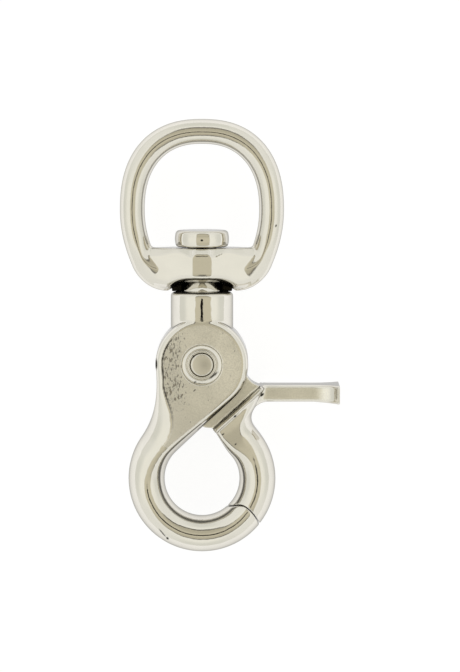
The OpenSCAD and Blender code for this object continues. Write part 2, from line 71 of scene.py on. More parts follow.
# Small geometry.


def mix(a: float, b: float, t: float) -> float:
    """The value a share t of the way from a to b."""
    return a + (b - a) * t


def ease(t: float) -> float:
    """A smooth step of t, held between 0 and 1."""
    t = min(1.0, max(0.0, t))
    return t * t * (3 - 2 * t)


def turn(degrees: float) -> Flat:
    """Cosine and sine of an angle."""
    return math.cos(math.radians(degrees)), math.sin(math.radians(degrees))


def polar(radius: float, degrees: float, centre: Sequence[float] = (0.0, 0.0)) -> Vector:
    """The point at an angle on a circle about a centre."""
    c, s = turn(degrees)
    return Vector((centre[0] + radius * c, centre[1] + radius * s))


def lerp(a: Vector, b: Vector, t: float) -> Vector:
    """The point a share t of the way from a to b."""
    return a + (b - a) * t


def bezier(p: Sequence[Flat], t: float) -> Vector:
    """The point at t, from 0 to 1, on the cubic curve of four control points."""
    q = [Vector(x) for x in p]
    s = 1 - t
    return s**3 * q[0] + 3 * t * s * s * q[1] + 3 * t * t * s * q[2] + t**3 * q[3]


def spread(a: float, b: float, steps: int) -> list[float]:
    """Evenly spread values from a to b, both included."""
    return [mix(a, b, i / steps) for i in range(steps + 1)]


@dataclass(frozen=True)
class Side:
    """One side of a section.

    Attributes:
        point: Its outermost point in the plane of the hook.
        half: Half the section's thickness there.
        inset: Width of the rounding.
        drop: Depth of the rounding.
    """

    point: Vector
    half: float
    inset: float
    drop: float

    def rounded(self, out: Vector, mid: float, down: bool, crest: float, steps: int) -> list[Point]:
        """The side's points: a quarter round over the wall and one under it.

        Args:
            out: Its outward direction.
            mid: Height of the middle plane.
            down: True to go from the top to the bottom.
            crest: 1 for a round, more for flatter flanks and a sharper crest.
            steps: Number of steps in each quarter.

        Returns:
            The points in order.
        """
        points = []
        angles = [90 - 180 * j / (2 * steps) for j in range(2 * steps + 1)]
        for a in angles if down else angles[::-1]:
            c, s = turn(a)
            wall = math.copysign(self.half - self.drop, s) if abs(s) > 1e-9 else 0.0
            q = self.point - out * self.inset * (1 - abs(c) ** crest)
            points.append((q[0], q[1], mid + wall + self.drop * s))
        return points


def section(a: Side, b: Side, mid: float, crest: float = 1.0, steps: int = QUARTER) -> list[Point]:
    """A section of a loft, down one side and up the other.

    Args:
        a: The side it goes down.
        b: The side it comes up.
        mid: Height of the middle plane.
        crest: 1 for round sides, more for sharper ones.
        steps: Number of steps in each quarter.

    Returns:
        The points in order.
    """
    out = (a.point - b.point).normalized()
    return a.rounded(out, mid, True, crest, steps) + b.rounded(-out, mid, False, crest, steps)


def plain_section(a: Vector, b: Vector, half: float, rim: float, mid: float, steps: int = QUARTER) -> list[Point]:
    """A nearly square section from a to b, with the same small rounding on every corner."""
    return section(Side(a, half, rim, rim), Side(b, half, rim, rim), mid, steps=steps)


# Making meshes.


def bent_grid(rings: Sequence[Sequence[Point]], closed: bool = False) -> BMesh:
    """Bends a grid over the rings of a loft, and closes it round and at its ends.

    Args:
        rings: The sections along the form, each a round of as many points.
        closed: True if the last section meets the first, as in an eye.

    Returns:
        A closed mesh with its faces turned outwards.
    """
    bm = bmesh.new()
    rows = list(rings) + ([rings[0]] if closed else [])
    around = len(rows[0])
    bmesh.ops.create_grid(bm, x_segments=around, y_segments=len(rows) - 1, size=1)
    bm.verts.ensure_lookup_table()
    for r, row in enumerate(rows):
        for c in range(around + 1):
            bm.verts[r * (around + 1) + c].co = Vector(row[c % around]) * MM
    bmesh.ops.remove_doubles(bm, verts=bm.verts, dist=MERGE)
    if not closed:
        bmesh.ops.holes_fill(bm, edges=[e for e in bm.edges if e.is_boundary])
    bmesh.ops.recalc_face_normals(bm, faces=bm.faces)
    return bm


def prism(outline: Sequence[Vector], low: float, high: float) -> BMesh:
    """A straight block over an outline in the plane of the hook.

    Args:
        outline: Its corners.
        low: Height of the lower face.
        high: Height of the upper face.

    Returns:
        A closed mesh.
    """
    bm = bmesh.new()
    base = bm.faces.new([bm.verts.new((p[0] * MM, p[1] * MM, low * MM)) for p in outline])
    moved = bmesh.ops.extrude_face_region(bm, geom=[base])["geom"]
    top = [v for v in moved if isinstance(v, bmesh.types.BMVert)]
    bmesh.ops.translate(bm, verts=top, vec=(0, 0, (high - low) * MM))
    bmesh.ops.recalc_face_normals(bm, faces=bm.faces)
    return bm


def turned(profile: Sequence[Flat], steps: int = 128) -> BMesh:
    """Turns a profile about the Z axis, as on a lathe.

    Args:
        profile: Radius and height of each corner, from axis to axis or once round.
        steps: Number of steps round.

    Returns:
        A closed mesh.
    """
    bm = bmesh.new()
    verts = [bm.verts.new((r * MM, 0, z * MM)) for r, z in profile]
    geom = verts + [bm.edges.new(pair) for pair in zip(verts, verts[1:])]
    bmesh.ops.spin(bm, geom=geom, cent=(0, 0, 0), axis=(0, 0, 1), angle=2 * math.pi, steps=steps, use_merge=True)
    bmesh.ops.remove_doubles(bm, verts=bm.verts, dist=MERGE)
    bmesh.ops.recalc_face_normals(bm, faces=bm.faces)
    return bm


def rod(radius: float, low: float, high: float, steps: int = 128) -> BMesh:
    """A round rod about the Z axis, from one height to another."""
    return turned([(0, low), (radius, low), (radius, high), (0, high)], steps)


def along_y(bm: BMesh, mid: float) -> BMesh:
    """Lays a turned form down.

    Args:
        bm: The form, whose axis is Z.
        mid: Height of its axis, which then lies along Y.

    Returns:
        The same form.
    """
    bmesh.ops.rotate(bm, verts=bm.verts, cent=(0, 0, 0), matrix=Matrix.Rotation(math.radians(-90), 3, "X"))
    bmesh.ops.translate(bm, verts=bm.verts, vec=(0, 0, mid * MM))
    bmesh.ops.recalc_face_normals(bm, faces=bm.faces)
    return bm


def to_object(name: str, mesh: Mesh | BMesh) -> Object:
    """Puts a mesh into the scene, at the origin.

    Args:
        name: Name of the object and of its mesh.
        mesh: The mesh, or a bmesh, which is freed.

    Returns:
        The object.
    """
    if isinstance(mesh, BMesh):
        bm, mesh = mesh, bpy.data.meshes.new(name)
        bm.to_mesh(mesh)
        bm.free()
    mesh.name = name
    mesh.shade_smooth()
    obj = bpy.data.objects.new(name, mesh)
    bpy.context.scene.collection.objects.link(obj)
    return obj


class Step(Enum):
    """What a tool does to the metal."""

    JOIN = "UNION"
    CUT = "DIFFERENCE"


@dataclass
class Casting:
    """A casting that grows by joining and cutting forms, then gets its soft cast edges.

    Attributes:
        name: Name of the finished piece.
        base: The first form.
        steps: The forms that are joined on or cut away, in order.
    """

    name: str
    base: BMesh
    steps: list[tuple[Step, BMesh]] = field(default_factory=list)

    def join(self, *forms: BMesh) -> None:
        """Joins forms on."""
        self.steps += [(Step.JOIN, f) for f in forms]

    def cut(self, *forms: BMesh) -> None:
        """Cuts forms away."""
        self.steps += [(Step.CUT, f) for f in forms]

    def soften(self, grain: float, passes: int) -> Object:
        """Runs the steps, then softens every edge as plating on a casting does.

        Args:
            grain: Size of the skin's facets.
            passes: Number of smoothing passes over them.

        Returns:
            The finished object, with no live modifiers.
        """
        raw = to_object(self.name + "_raw", self.base)
        tools = [to_object(f"{self.name}_tool_{number}", form) for number, (_, form) in enumerate(self.steps)]
        for (step, _), tool in zip(self.steps, tools):
            change = raw.modifiers.new(tool.name, "BOOLEAN")
            change.operation = step.value
            change.solver = "MANIFOLD"
            change.object = tool
        skin = raw.modifiers.new("skin", "REMESH")
        skin.mode = "VOXEL"
        skin.voxel_size = grain * MM
        polish = raw.modifiers.new("polish", "SMOOTH")
        polish.factor = 0.5
        polish.iterations = passes
        bpy.context.view_layer.update()
        mesh = bpy.data.meshes.new_from_object(raw.evaluated_get(bpy.context.evaluated_depsgraph_get()))
        mesh.materials.clear()
        for spare in [raw, *tools]:
            data = spare.data
            bpy.data.objects.remove(spare)
            bpy.data.meshes.remove(data)
        return to_object(self.name, mesh)


# Masks.


class Skin:
    """The points of a piece's surface.

    Attributes:
        at: The points.
        facing: The directions that they face.
        mid: Height of the hook's middle plane.
        off_mid: Distance of the points to that plane.
        off_axis: Distance of the points to the stud's axis.
        level: 1 where the surface faces straight up or down, 0 on a wall.
        front: True where it faces the front.
    """

    def __init__(self, at: np.ndarray, facing: np.ndarray, mid: float) -> None:
        """Keeps the points, and works out what the masks read of them."""
        self.at, self.facing, self.mid = at, facing, mid
        self.x, self.y, self.z = at.T
        self.off_mid = np.abs(self.z - mid)
        self.off_axis = np.hypot(self.x, self.off_mid)
        self.level, self.front = np.abs(facing[:, 2]), facing[:, 2] > 0

    def depth(self, outline: Sequence[Vector]) -> np.ndarray:
        """How deep each point lies inside an outline, seen from the front.

        Args:
            outline: The corners of the outline.

        Returns:
            The distance of each point to the outline, less than 0 outside it.
        """
        corners = np.array([tuple(p) for p in outline])
        best = np.full(len(self.at), np.inf)
        inside = np.zeros(len(self.at), bool)
        for a, b in zip(corners, np.roll(corners, -1, axis=0)):
            run = b - a
            dx, dy = self.x - a[0], self.y - a[1]
            along = np.clip((dx * run[0] + dy * run[1]) / max(run @ run, 1e-12), 0, 1)
            best = np.minimum(best, np.hypot(dx - along * run[0], dy - along * run[1]))
            if a[1] != b[1]:
                inside ^= ((a[1] > self.y) != (b[1] > self.y)) & (self.x < run[0] * dy / run[1] + a[0])
        return np.where(inside, best, -best)

    def spots(self, *marks: tuple[float, float, float, float, float]) -> np.ndarray:
        """Small soft-edged spots, seen from the front, for real marks and for painted reflections.

        Args:
            marks: The place, length, width and turn of each mark.

        Returns:
            The share of mark at each point.
        """
        share = np.zeros(len(self.at))
        for x, y, length, width, degrees in marks:
            c, s = turn(degrees)
            dx, dy = self.x - x, self.y - y
            off = np.hypot((dx * c + dy * s) / (length / 2), (dy * c - dx * s) / (width / 2))
            share = np.maximum(share, 1 - smooth(off, 0.6, 1.3))
        return share

    def inner_reflection_line(self, centre: Sequence[float], start: float, end: float) -> np.ndarray:
        """A painted reflection: the thin dark line that runs round inside an opening, where its wall turns from up to
        down.

        Args:
            centre: The middle of the opening.
            start: Tilt of the surface at which the line starts.
            end: Tilt at which it ends.

        Returns:
            The share of the line at each point.
        """
        to_centre = np.array(centre) - self.at[:, :2]
        inwards = (self.facing[:, :2] * to_centre).sum(axis=1) / np.hypot(*to_centre.T)
        tilt = np.degrees(np.arccos(np.clip(self.level, 0, 1)))
        return smooth(tilt, start - 4, start) * (1 - smooth(tilt, end, end + 5)) * smooth(inwards, 0.3, 0.5)


def smooth(values: np.ndarray, low: float, high: float) -> np.ndarray:
    """Rises smoothly from 0 to 1 as the values go from low to high."""
    t = np.clip((values - low) / (high - low), 0, 1)
    return t * t * (3 - 2 * t)


def paint(obj: Object, mid: float, **masks: Callable[[Skin], np.ndarray]) -> None:
    """Gives every point of a piece a share between 0 and 1, for its finish to read.

    Args:
        obj: The piece.
        mid: Height of the hook's middle plane.
        masks: The name of each attribute, and what gives its shares.
    """
    mesh = obj.data
    points = np.empty(len(mesh.vertices) * 3, np.float32)
    mesh.vertices.foreach_get("co", points)
    normals = np.empty_like(points)
    mesh.vertices.foreach_get("normal", normals)
    skin = Skin(points.reshape(-1, 3) / MM, normals.reshape(-1, 3), mid)
    for name, mask in masks.items():
        layer = mesh.attributes.new(name, "FLOAT", "POINT")
        layer.data.foreach_set("value", np.clip(mask(skin), 0, 1).astype(np.float32))


# Finishes.


@dataclass(frozen=True)
class Wire:
    """A value on its way through the nodes, which is reckoned with as a number is."""

    nodes: Nodes
    socket: NodeSocket

    def __add__(self, other: Wire | float) -> Wire:
        """Adds."""
        return self.nodes.math("ADD", self, other)

    def __sub__(self, other: Wire | float) -> Wire:
        """Takes away."""
        return self.nodes.math("SUBTRACT", self, other)

    def __rsub__(self, other: float) -> Wire:
        """Takes this value away from a number."""
        return self.nodes.math("SUBTRACT", other, self)

    def __mul__(self, other: Wire | float) -> Wire:
        """Multiplies."""
        return self.nodes.math("MULTIPLY", self, other)

    def __truediv__(self, other: Wire | float) -> Wire:
        """Divides."""
        return self.nodes.math("DIVIDE", self, other)

    def __pow__(self, power: float) -> Wire:
        """Raises to a power."""
        return self.nodes.math("POWER", self, power)

    def __abs__(self) -> Wire:
        """Drops the sign."""
        return self.nodes.math("ABSOLUTE", self)


class Nodes:
    """A short way to wire the nodes of a material or a world."""

    def __init__(self, owner: Material | World) -> None:
        """Keeps the tree that the nodes go into."""
        owner.use_nodes = True
        self.tree = owner.node_tree

    def add(self, kind: str, **settings: object) -> Node:
        """Adds a node.

        Args:
            kind: The node's type.
            settings: Its own properties.

        Returns:
            The node.
        """
        node = self.tree.nodes.new(kind)
        for key, value in settings.items():
            setattr(node, key, value)
        return node

    def plug(self, source: Wire | float | Sequence[float], into: NodeSocket) -> None:
        """Gives an input a wire or a plain value."""
        if isinstance(source, Wire):
            self.tree.links.new(source.socket, into)
        else:
            into.default_value = source

    def out(self, node: Node, name: str | int = 0) -> Wire:
        """One of a node's outputs."""
        return Wire(self, node.outputs[name])

    def math(self, kind: str, *sources: Wire | float) -> Wire:
        """One sum of its sources."""
        node = self.add("ShaderNodeMath", operation=kind)
        for into, source in zip(node.inputs, sources):
            self.plug(source, into)
        return self.out(node)

    def step(self, value: Wire, span: Flat, top: float = 1.0) -> Wire:
        """Rises smoothly from 0 to top as a value crosses a span."""
        node = self.add("ShaderNodeMapRange", interpolation_type="SMOOTHSTEP")
        for key, source in (("Value", value), ("From Min", span[0]), ("From Max", span[1]), ("To Max", top)):
            self.plug(source, node.inputs[key])
        return self.out(node, "Result")

    def between(self, value: Wire, rise: Flat, fall: Flat) -> Wire:
        """Rises to 1 as a value crosses one span, and falls back to 0 as it crosses another."""
        return self.step(value, rise) * (1 - self.step(value, fall))

    def noise(self, where: Wire, per_mm: float, detail: float) -> Wire:
        """Cloudy noise with a number of waves for each millimetre."""
        node = self.add("ShaderNodeTexNoise")
        for key, source in (("Vector", where), ("Scale", per_mm / MM), ("Detail", detail)):
            self.plug(source, node.inputs[key])
        return self.out(node, "Fac")

    def tint(self, share: Wire, a: Wire | Sequence[float], b: Wire | Sequence[float]) -> Wire:
        """A colour between two colours, by a share."""
        node = self.add("ShaderNodeMix", data_type="RGBA")
        self.plug(share, node.inputs["Factor"])
        colours = [socket for socket in node.inputs if socket.type == "RGBA"]
        for colour, into in zip((a, b), colours):
            self.plug(colour if isinstance(colour, Wire) else (*colour, 1.0), into)
        return Wire(self, next(socket for socket in node.outputs if socket.type == "RGBA"))

    def painted(self, name: str) -> Wire:
        """The share that a piece's points carry under a name."""
        return self.out(self.add("ShaderNodeAttribute", attribute_name=name), "Fac")

    def object_place(self) -> Wire:
        """The place on the piece."""
        return self.out(self.add("ShaderNodeTexCoord"), "Object")


def shaded(colour: Sequence[float], share: float) -> Point:
    """A colour made darker or lighter by a share."""
    return tuple(c * share for c in colour)


def metres(low: float, high: float) -> Flat:
    """A span that is given in mm, in metres."""
    return low * MM, high * MM


def metal(name: str) -> tuple[Material, Nodes, bpy.types.bpy_prop_collection]:
    """Starts a metal.

    Args:
        name: Name of the material.

    Returns:
        The material, a way to wire its nodes, and its shader's inputs.
    """
    material = bpy.data.materials.new(name)
    nodes = Nodes(material)
    inputs = nodes.tree.nodes["Principled BSDF"].inputs
    inputs["Metallic"].default_value = 1.0
    return material, nodes, inputs


@dataclass(frozen=True)
class NickelPlate:
    """Bright nickel plate, satin and browner where the casting underneath was left matt.

    Attributes:
        name: Name of the material.
        bright: Colour where it is polished.
        matt: Colour where it is satin.
        gloss: Roughness where it is polished.
        satin: Roughness where it is satin.
        edge: Reflectance seen at a glancing angle, as a share.
        masked: True if the piece carries the attribute that says where it is satin.
        pitted: True if the satin has casting pits, most of them on its left.
        waves: Depth of the casting's slow waves.
        crisp_above: Height along Y above which the metal is turned and so crisper, or None.
        sooty: True if the piece carries the attribute that says where it has painted shade, painted dark reflections
            or real dark marks.
        painted_hollow_shade: True to paint shade, found by ambient occlusion, into the colour of what lies deep
            between two pieces.
        pit: Colour at the bottom of a pit.
        shade: Colour of that painted shade deep between two pieces.
        shade_and_mark_colour: Colour of the painted shade, the painted dark reflections and the real dark marks.
        pit_turn: How far the pits' long side is turned off the hook's length.
    """

    name: str
    bright: Point = (0.80, 0.775, 0.71)
    matt: Point = (0.88, 0.845, 0.75)
    gloss: float = 0.11
    satin: float = 0.48
    edge: float = 0.5
    masked: bool = False
    pitted: bool = False
    waves: float = 0.03
    crisp_above: float | None = None
    sooty: bool = False
    painted_hollow_shade: bool = True
    pit: Point = (0.15, 0.125, 0.09)
    shade: Point = (0.03, 0.026, 0.02)
    shade_and_mark_colour: Point = (0.02, 0.017, 0.012)
    grain_depth: float = 0.018
    pit_depth: float = 0.05
    pit_turn: float = -12.0

    def build(self) -> Material:
        """Makes the material.

        Returns:
            The material, with its colour, gloss and relief from nodes on Object coordinates.
        """
        material, nodes, inputs = metal(self.name)
        inputs["Specular Tint"].default_value = (self.edge, self.edge, self.edge, 1)
        where = nodes.object_place()
        place = nodes.add("ShaderNodeSeparateXYZ")
        nodes.plug(where, place.inputs[0])
        x, y = nodes.out(place, "X"), nodes.out(place, "Y")
        cloud = nodes.noise(where, 0.22, 2.0)
        colour = nodes.tint(cloud, shaded(self.bright, 0.95), shaded(self.bright, 1.05))
        depth = self.waves * MM
        relief = nodes.noise(where, 0.45, 1.0) * depth + nodes.noise(where, 2.2, 2.0) * (0.1 * depth)
        rough = cloud * 0.06 + (self.gloss - 0.03)
        if self.crisp_above is not None:
            crisp = nodes.step(y, metres(self.crisp_above - 0.4, self.crisp_above))
            rough = rough - crisp * (self.gloss - 0.045)
        if self.masked:
            mask = nodes.painted("satin")
            grain = nodes.noise(where, 4.5, 4.0)
            colour = nodes.tint(mask, colour, self._satin(nodes, cloud, grain, x, y))
            rough = rough + mask * (self.satin - self.gloss)
            relief = relief + grain * mask * (self.grain_depth * MM)
            if self.pitted:
                pits = self._pits(nodes, where, x, y) * mask
                colour = nodes.tint(pits * 0.68, colour, self.pit)
                relief = relief - pits * (self.pit_depth * MM)
        # Painted shade: ambient occlusion darkens the colour deep between two pieces.
        if self.painted_hollow_shade:
            hollow = nodes.add("ShaderNodeAmbientOcclusion", samples=8)
            hollow.inputs["Distance"].default_value = 0.6 * MM
            deep = 1 - nodes.step(nodes.out(hollow, "AO"), (0.15, 0.55))
            colour = nodes.tint(deep * 0.92, colour, self.shade)
        # Painted shade and painted dark reflections, together with real dark marks, darken the colour by one painted
        # share.
        if self.sooty:
            soot = nodes.painted("soot")
            colour = nodes.tint(soot, colour, self.shade_and_mark_colour)
            rough = rough + soot * 0.4
        bump = nodes.add("ShaderNodeBump")
        bump.inputs["Strength"].default_value = 1.0
        bump.inputs["Distance"].default_value = 1.0
        nodes.plug(relief, bump.inputs["Height"])
        nodes.plug(nodes.out(bump, "Normal"), inputs["Normal"])
        nodes.plug(colour, inputs["Base Color"])
        nodes.plug(rough, inputs["Roughness"])
        return material

    def _satin(self, nodes: Nodes, cloud: Wire, grain: Wire, x: Wire, y: Wire) -> Wire:
        """The satin's mottled colour, darker towards the lower left, by slow and fine noise and by place."""
        tone = nodes.step(cloud * 0.5 + grain * 0.7, (0.35, 0.85))
        mottled = nodes.tint(tone, shaded(self.matt, 0.81), shaded(self.matt, 1.12))
        return nodes.tint(x * (0.05 / MM) + 0.72 + y * (0.018 / MM), shaded(self.matt, 0.8), mottled)

    def _pits(self, nodes: Nodes, where: Wire, x: Wire, y: Wire) -> Wire:
        """Stretched casting pits, close together on the left of the cheek and rare elsewhere.

        Args:
            nodes: The material's nodes.
            where: The place on the piece.
            x: The place across.
            y: The place along.

        Returns:
            The share of pit at each place.
        """
        stretch = nodes.add("ShaderNodeMapping", vector_type="POINT")
        stretch.inputs["Rotation"].default_value = (0, 0, math.radians(self.pit_turn))
        stretch.inputs["Scale"].default_value = (1.0, 0.42, 1.0)
        nodes.plug(where, stretch.inputs["Vector"])
        stretched = nodes.out(stretch)
        coarse, fine = nodes.noise(stretched, 3.2, 2.0), nodes.noise(stretched, 6.5, 2.0)
        patch = (nodes.noise(where, 0.7, 1.0) - 0.5) * 0.16
        left = 1 - nodes.step(x, metres(-4.4, -0.9))
        crowd = left * nodes.between(y, metres(-12.0, -4.0), metres(5.0, 7.4))
        level = crowd * 0.165 + 0.283 + patch
        large, small = nodes.step(level - coarse, (0.0, 0.05)), nodes.step(level - 0.005 - fine, (0.0, 0.09), 0.6)
        return nodes.math("MAXIMUM", large, small)


@dataclass(frozen=True)
class SpringWire:
    """Plain drawn spring wire, grey and fairly smooth."""

    name: str = "spring_wire"
    colour: Point = (0.36, 0.35, 0.34)

    def build(self) -> Material:
        """Makes the material, with fine drawn marks in its gloss.

        Returns:
            The material.
        """
        material, nodes, inputs = metal(self.name)
        marks = nodes.noise(nodes.object_place(), 3.0, 3.0)
        nodes.plug(nodes.tint(marks, shaded(self.colour, 0.8), shaded(self.colour, 1.2)), inputs["Base Color"])
        nodes.plug(marks * 0.2 + 0.22, inputs["Roughness"])
        return material


# The hook's lines.


@dataclass(frozen=True)
class HookForm:
    """The sizes that the pieces share, and the lines that body and gate both follow."""

    body_t: float = 10.6
    head_r: float = 7.7
    rim_r: float = 1.2
    barrel_top: float = 11.8
    barrel_step: float = 0.1
    barrel_chamfer: float = 0.5
    loop_drop: float = 19.4
    loop_r: float = 6.25
    loop_band: float = 6.05
    loop_t: float = 7.4
    nose_r: float = 24.45
    nose_turn: float = 14.2
    nose_gap: float = 0.12
    shoulder_r: float = 9.3
    shoulder_l: float = 10.9
    shoulder_t: float = 10.2
    shoulder_chamfer: float = 0.65
    shoulder_dir: float = -47.5
    shoulder_split: float = 0.445
    tongue_t: float = 4.8
    tongue_r: float = 6.2
    tongue_rise: float = 22.0
    tongue_fall: float = 142.0
    slot_gap: float = 0.1
    gate_swing: float = 25.0
    pivot_d: float = 3.8
    stud_d: float = 4.8
    stud_tail: float = 4.1
    run_gap: float = 0.05
    crest: float = 1.17
    fullness: float = 0.97

    @property
    def mid(self) -> float:
        """Height of the middle plane."""
        return self.body_t / 2

    @property
    def barrel_r(self) -> float:
        """Radius of the barrel."""
        return self.body_t / 2 - self.barrel_step

    @property
    def centre(self) -> Vector:
        """Centre of the hook's loop."""
        return Vector((0.0, -self.loop_drop))

    @property
    def loop_out(self) -> float:
        """Outer radius of the loop."""
        return self.loop_r + self.loop_band

    @property
    def lean(self) -> float:
        """Lean of the line that touches both the cheeks' head and the loop's opening."""
        return math.degrees(math.asin((self.head_r + self.loop_r) / self.loop_drop))

    @property
    def lean_n(self) -> Vector:
        """Direction square to that line."""
        return polar(1, -self.lean)

    @property
    def lean_top(self) -> Vector:
        """Where the line leaves the head."""
        return self.lean_n * self.head_r

    @property
    def lean_foot(self) -> Vector:
        """Where the line meets the loop's opening."""
        return self.centre - self.lean_n * self.loop_r

    @property
    def apex_y(self) -> float:
        """Height of the opening's pointed top."""
        return -self.loop_drop + self.loop_r / math.sin(math.radians(self.lean))

    @property
    def shoulder_n(self) -> Vector:
        """Direction from the pivot square to the gate's shoulder."""
        return polar(1, self.shoulder_dir)

    @property
    def shoulder_t_dir(self) -> Vector:
        """Direction along the gate's shoulder, outwards."""
        return polar(1, self.shoulder_dir + 90)

    @property
    def shoulder_out(self) -> Vector:
        """Outer end of the gate's shoulder."""
        return self.shoulder_n * self.shoulder_r + self.shoulder_t_dir * (self.shoulder_split * self.shoulder_l)

    @property
    def shoulder_in(self) -> Vector:
        """Inner end of the gate's shoulder."""
        along = (1 - self.shoulder_split) * self.shoulder_l
        return self.shoulder_n * self.shoulder_r - self.shoulder_t_dir * along

    def nose_line(self, gap: float) -> list[Vector]:
        """The line where nose and gate meet, from inside the loop outwards.

        Args:
            gap: How far the line is moved to the gate's side.

        Returns:
            Its points.
        """
        p, t = polar(self.nose_r, self.nose_turn - 90), polar(1, self.nose_turn)
        curve = [p, p + t * 1.5, p + Vector((2.9, -1.55)), p + Vector((3.6, -3.45))]
        line = [polar(self.nose_r, a - 90) for a in spread(4, self.nose_turn - 0.2, 20)]
        line += [bezier(curve, s) for s in spread(0, 1, 40)] + [p + Vector((4.6, -6.2))]
        moved = []
        for i, q in enumerate(line):
            d = (line[min(i + 1, len(line) - 1)] - line[max(i - 1, 0)]).normalized()
            moved.append(q + Vector((-d[1], d[0])) * gap)
        return moved


# The pieces.


@dataclass
class Assembly:
    """A sub-assembly of the hook.

    Attributes:
        form: The sizes that it shares with the others.
        finish: The finish of its metal.
    """

    form: HookForm
    finish: NickelPlate | SpringWire

    def build(self) -> list[Object]:
        """Makes the sub-assembly's pieces and dresses them."""
        raise NotImplementedError


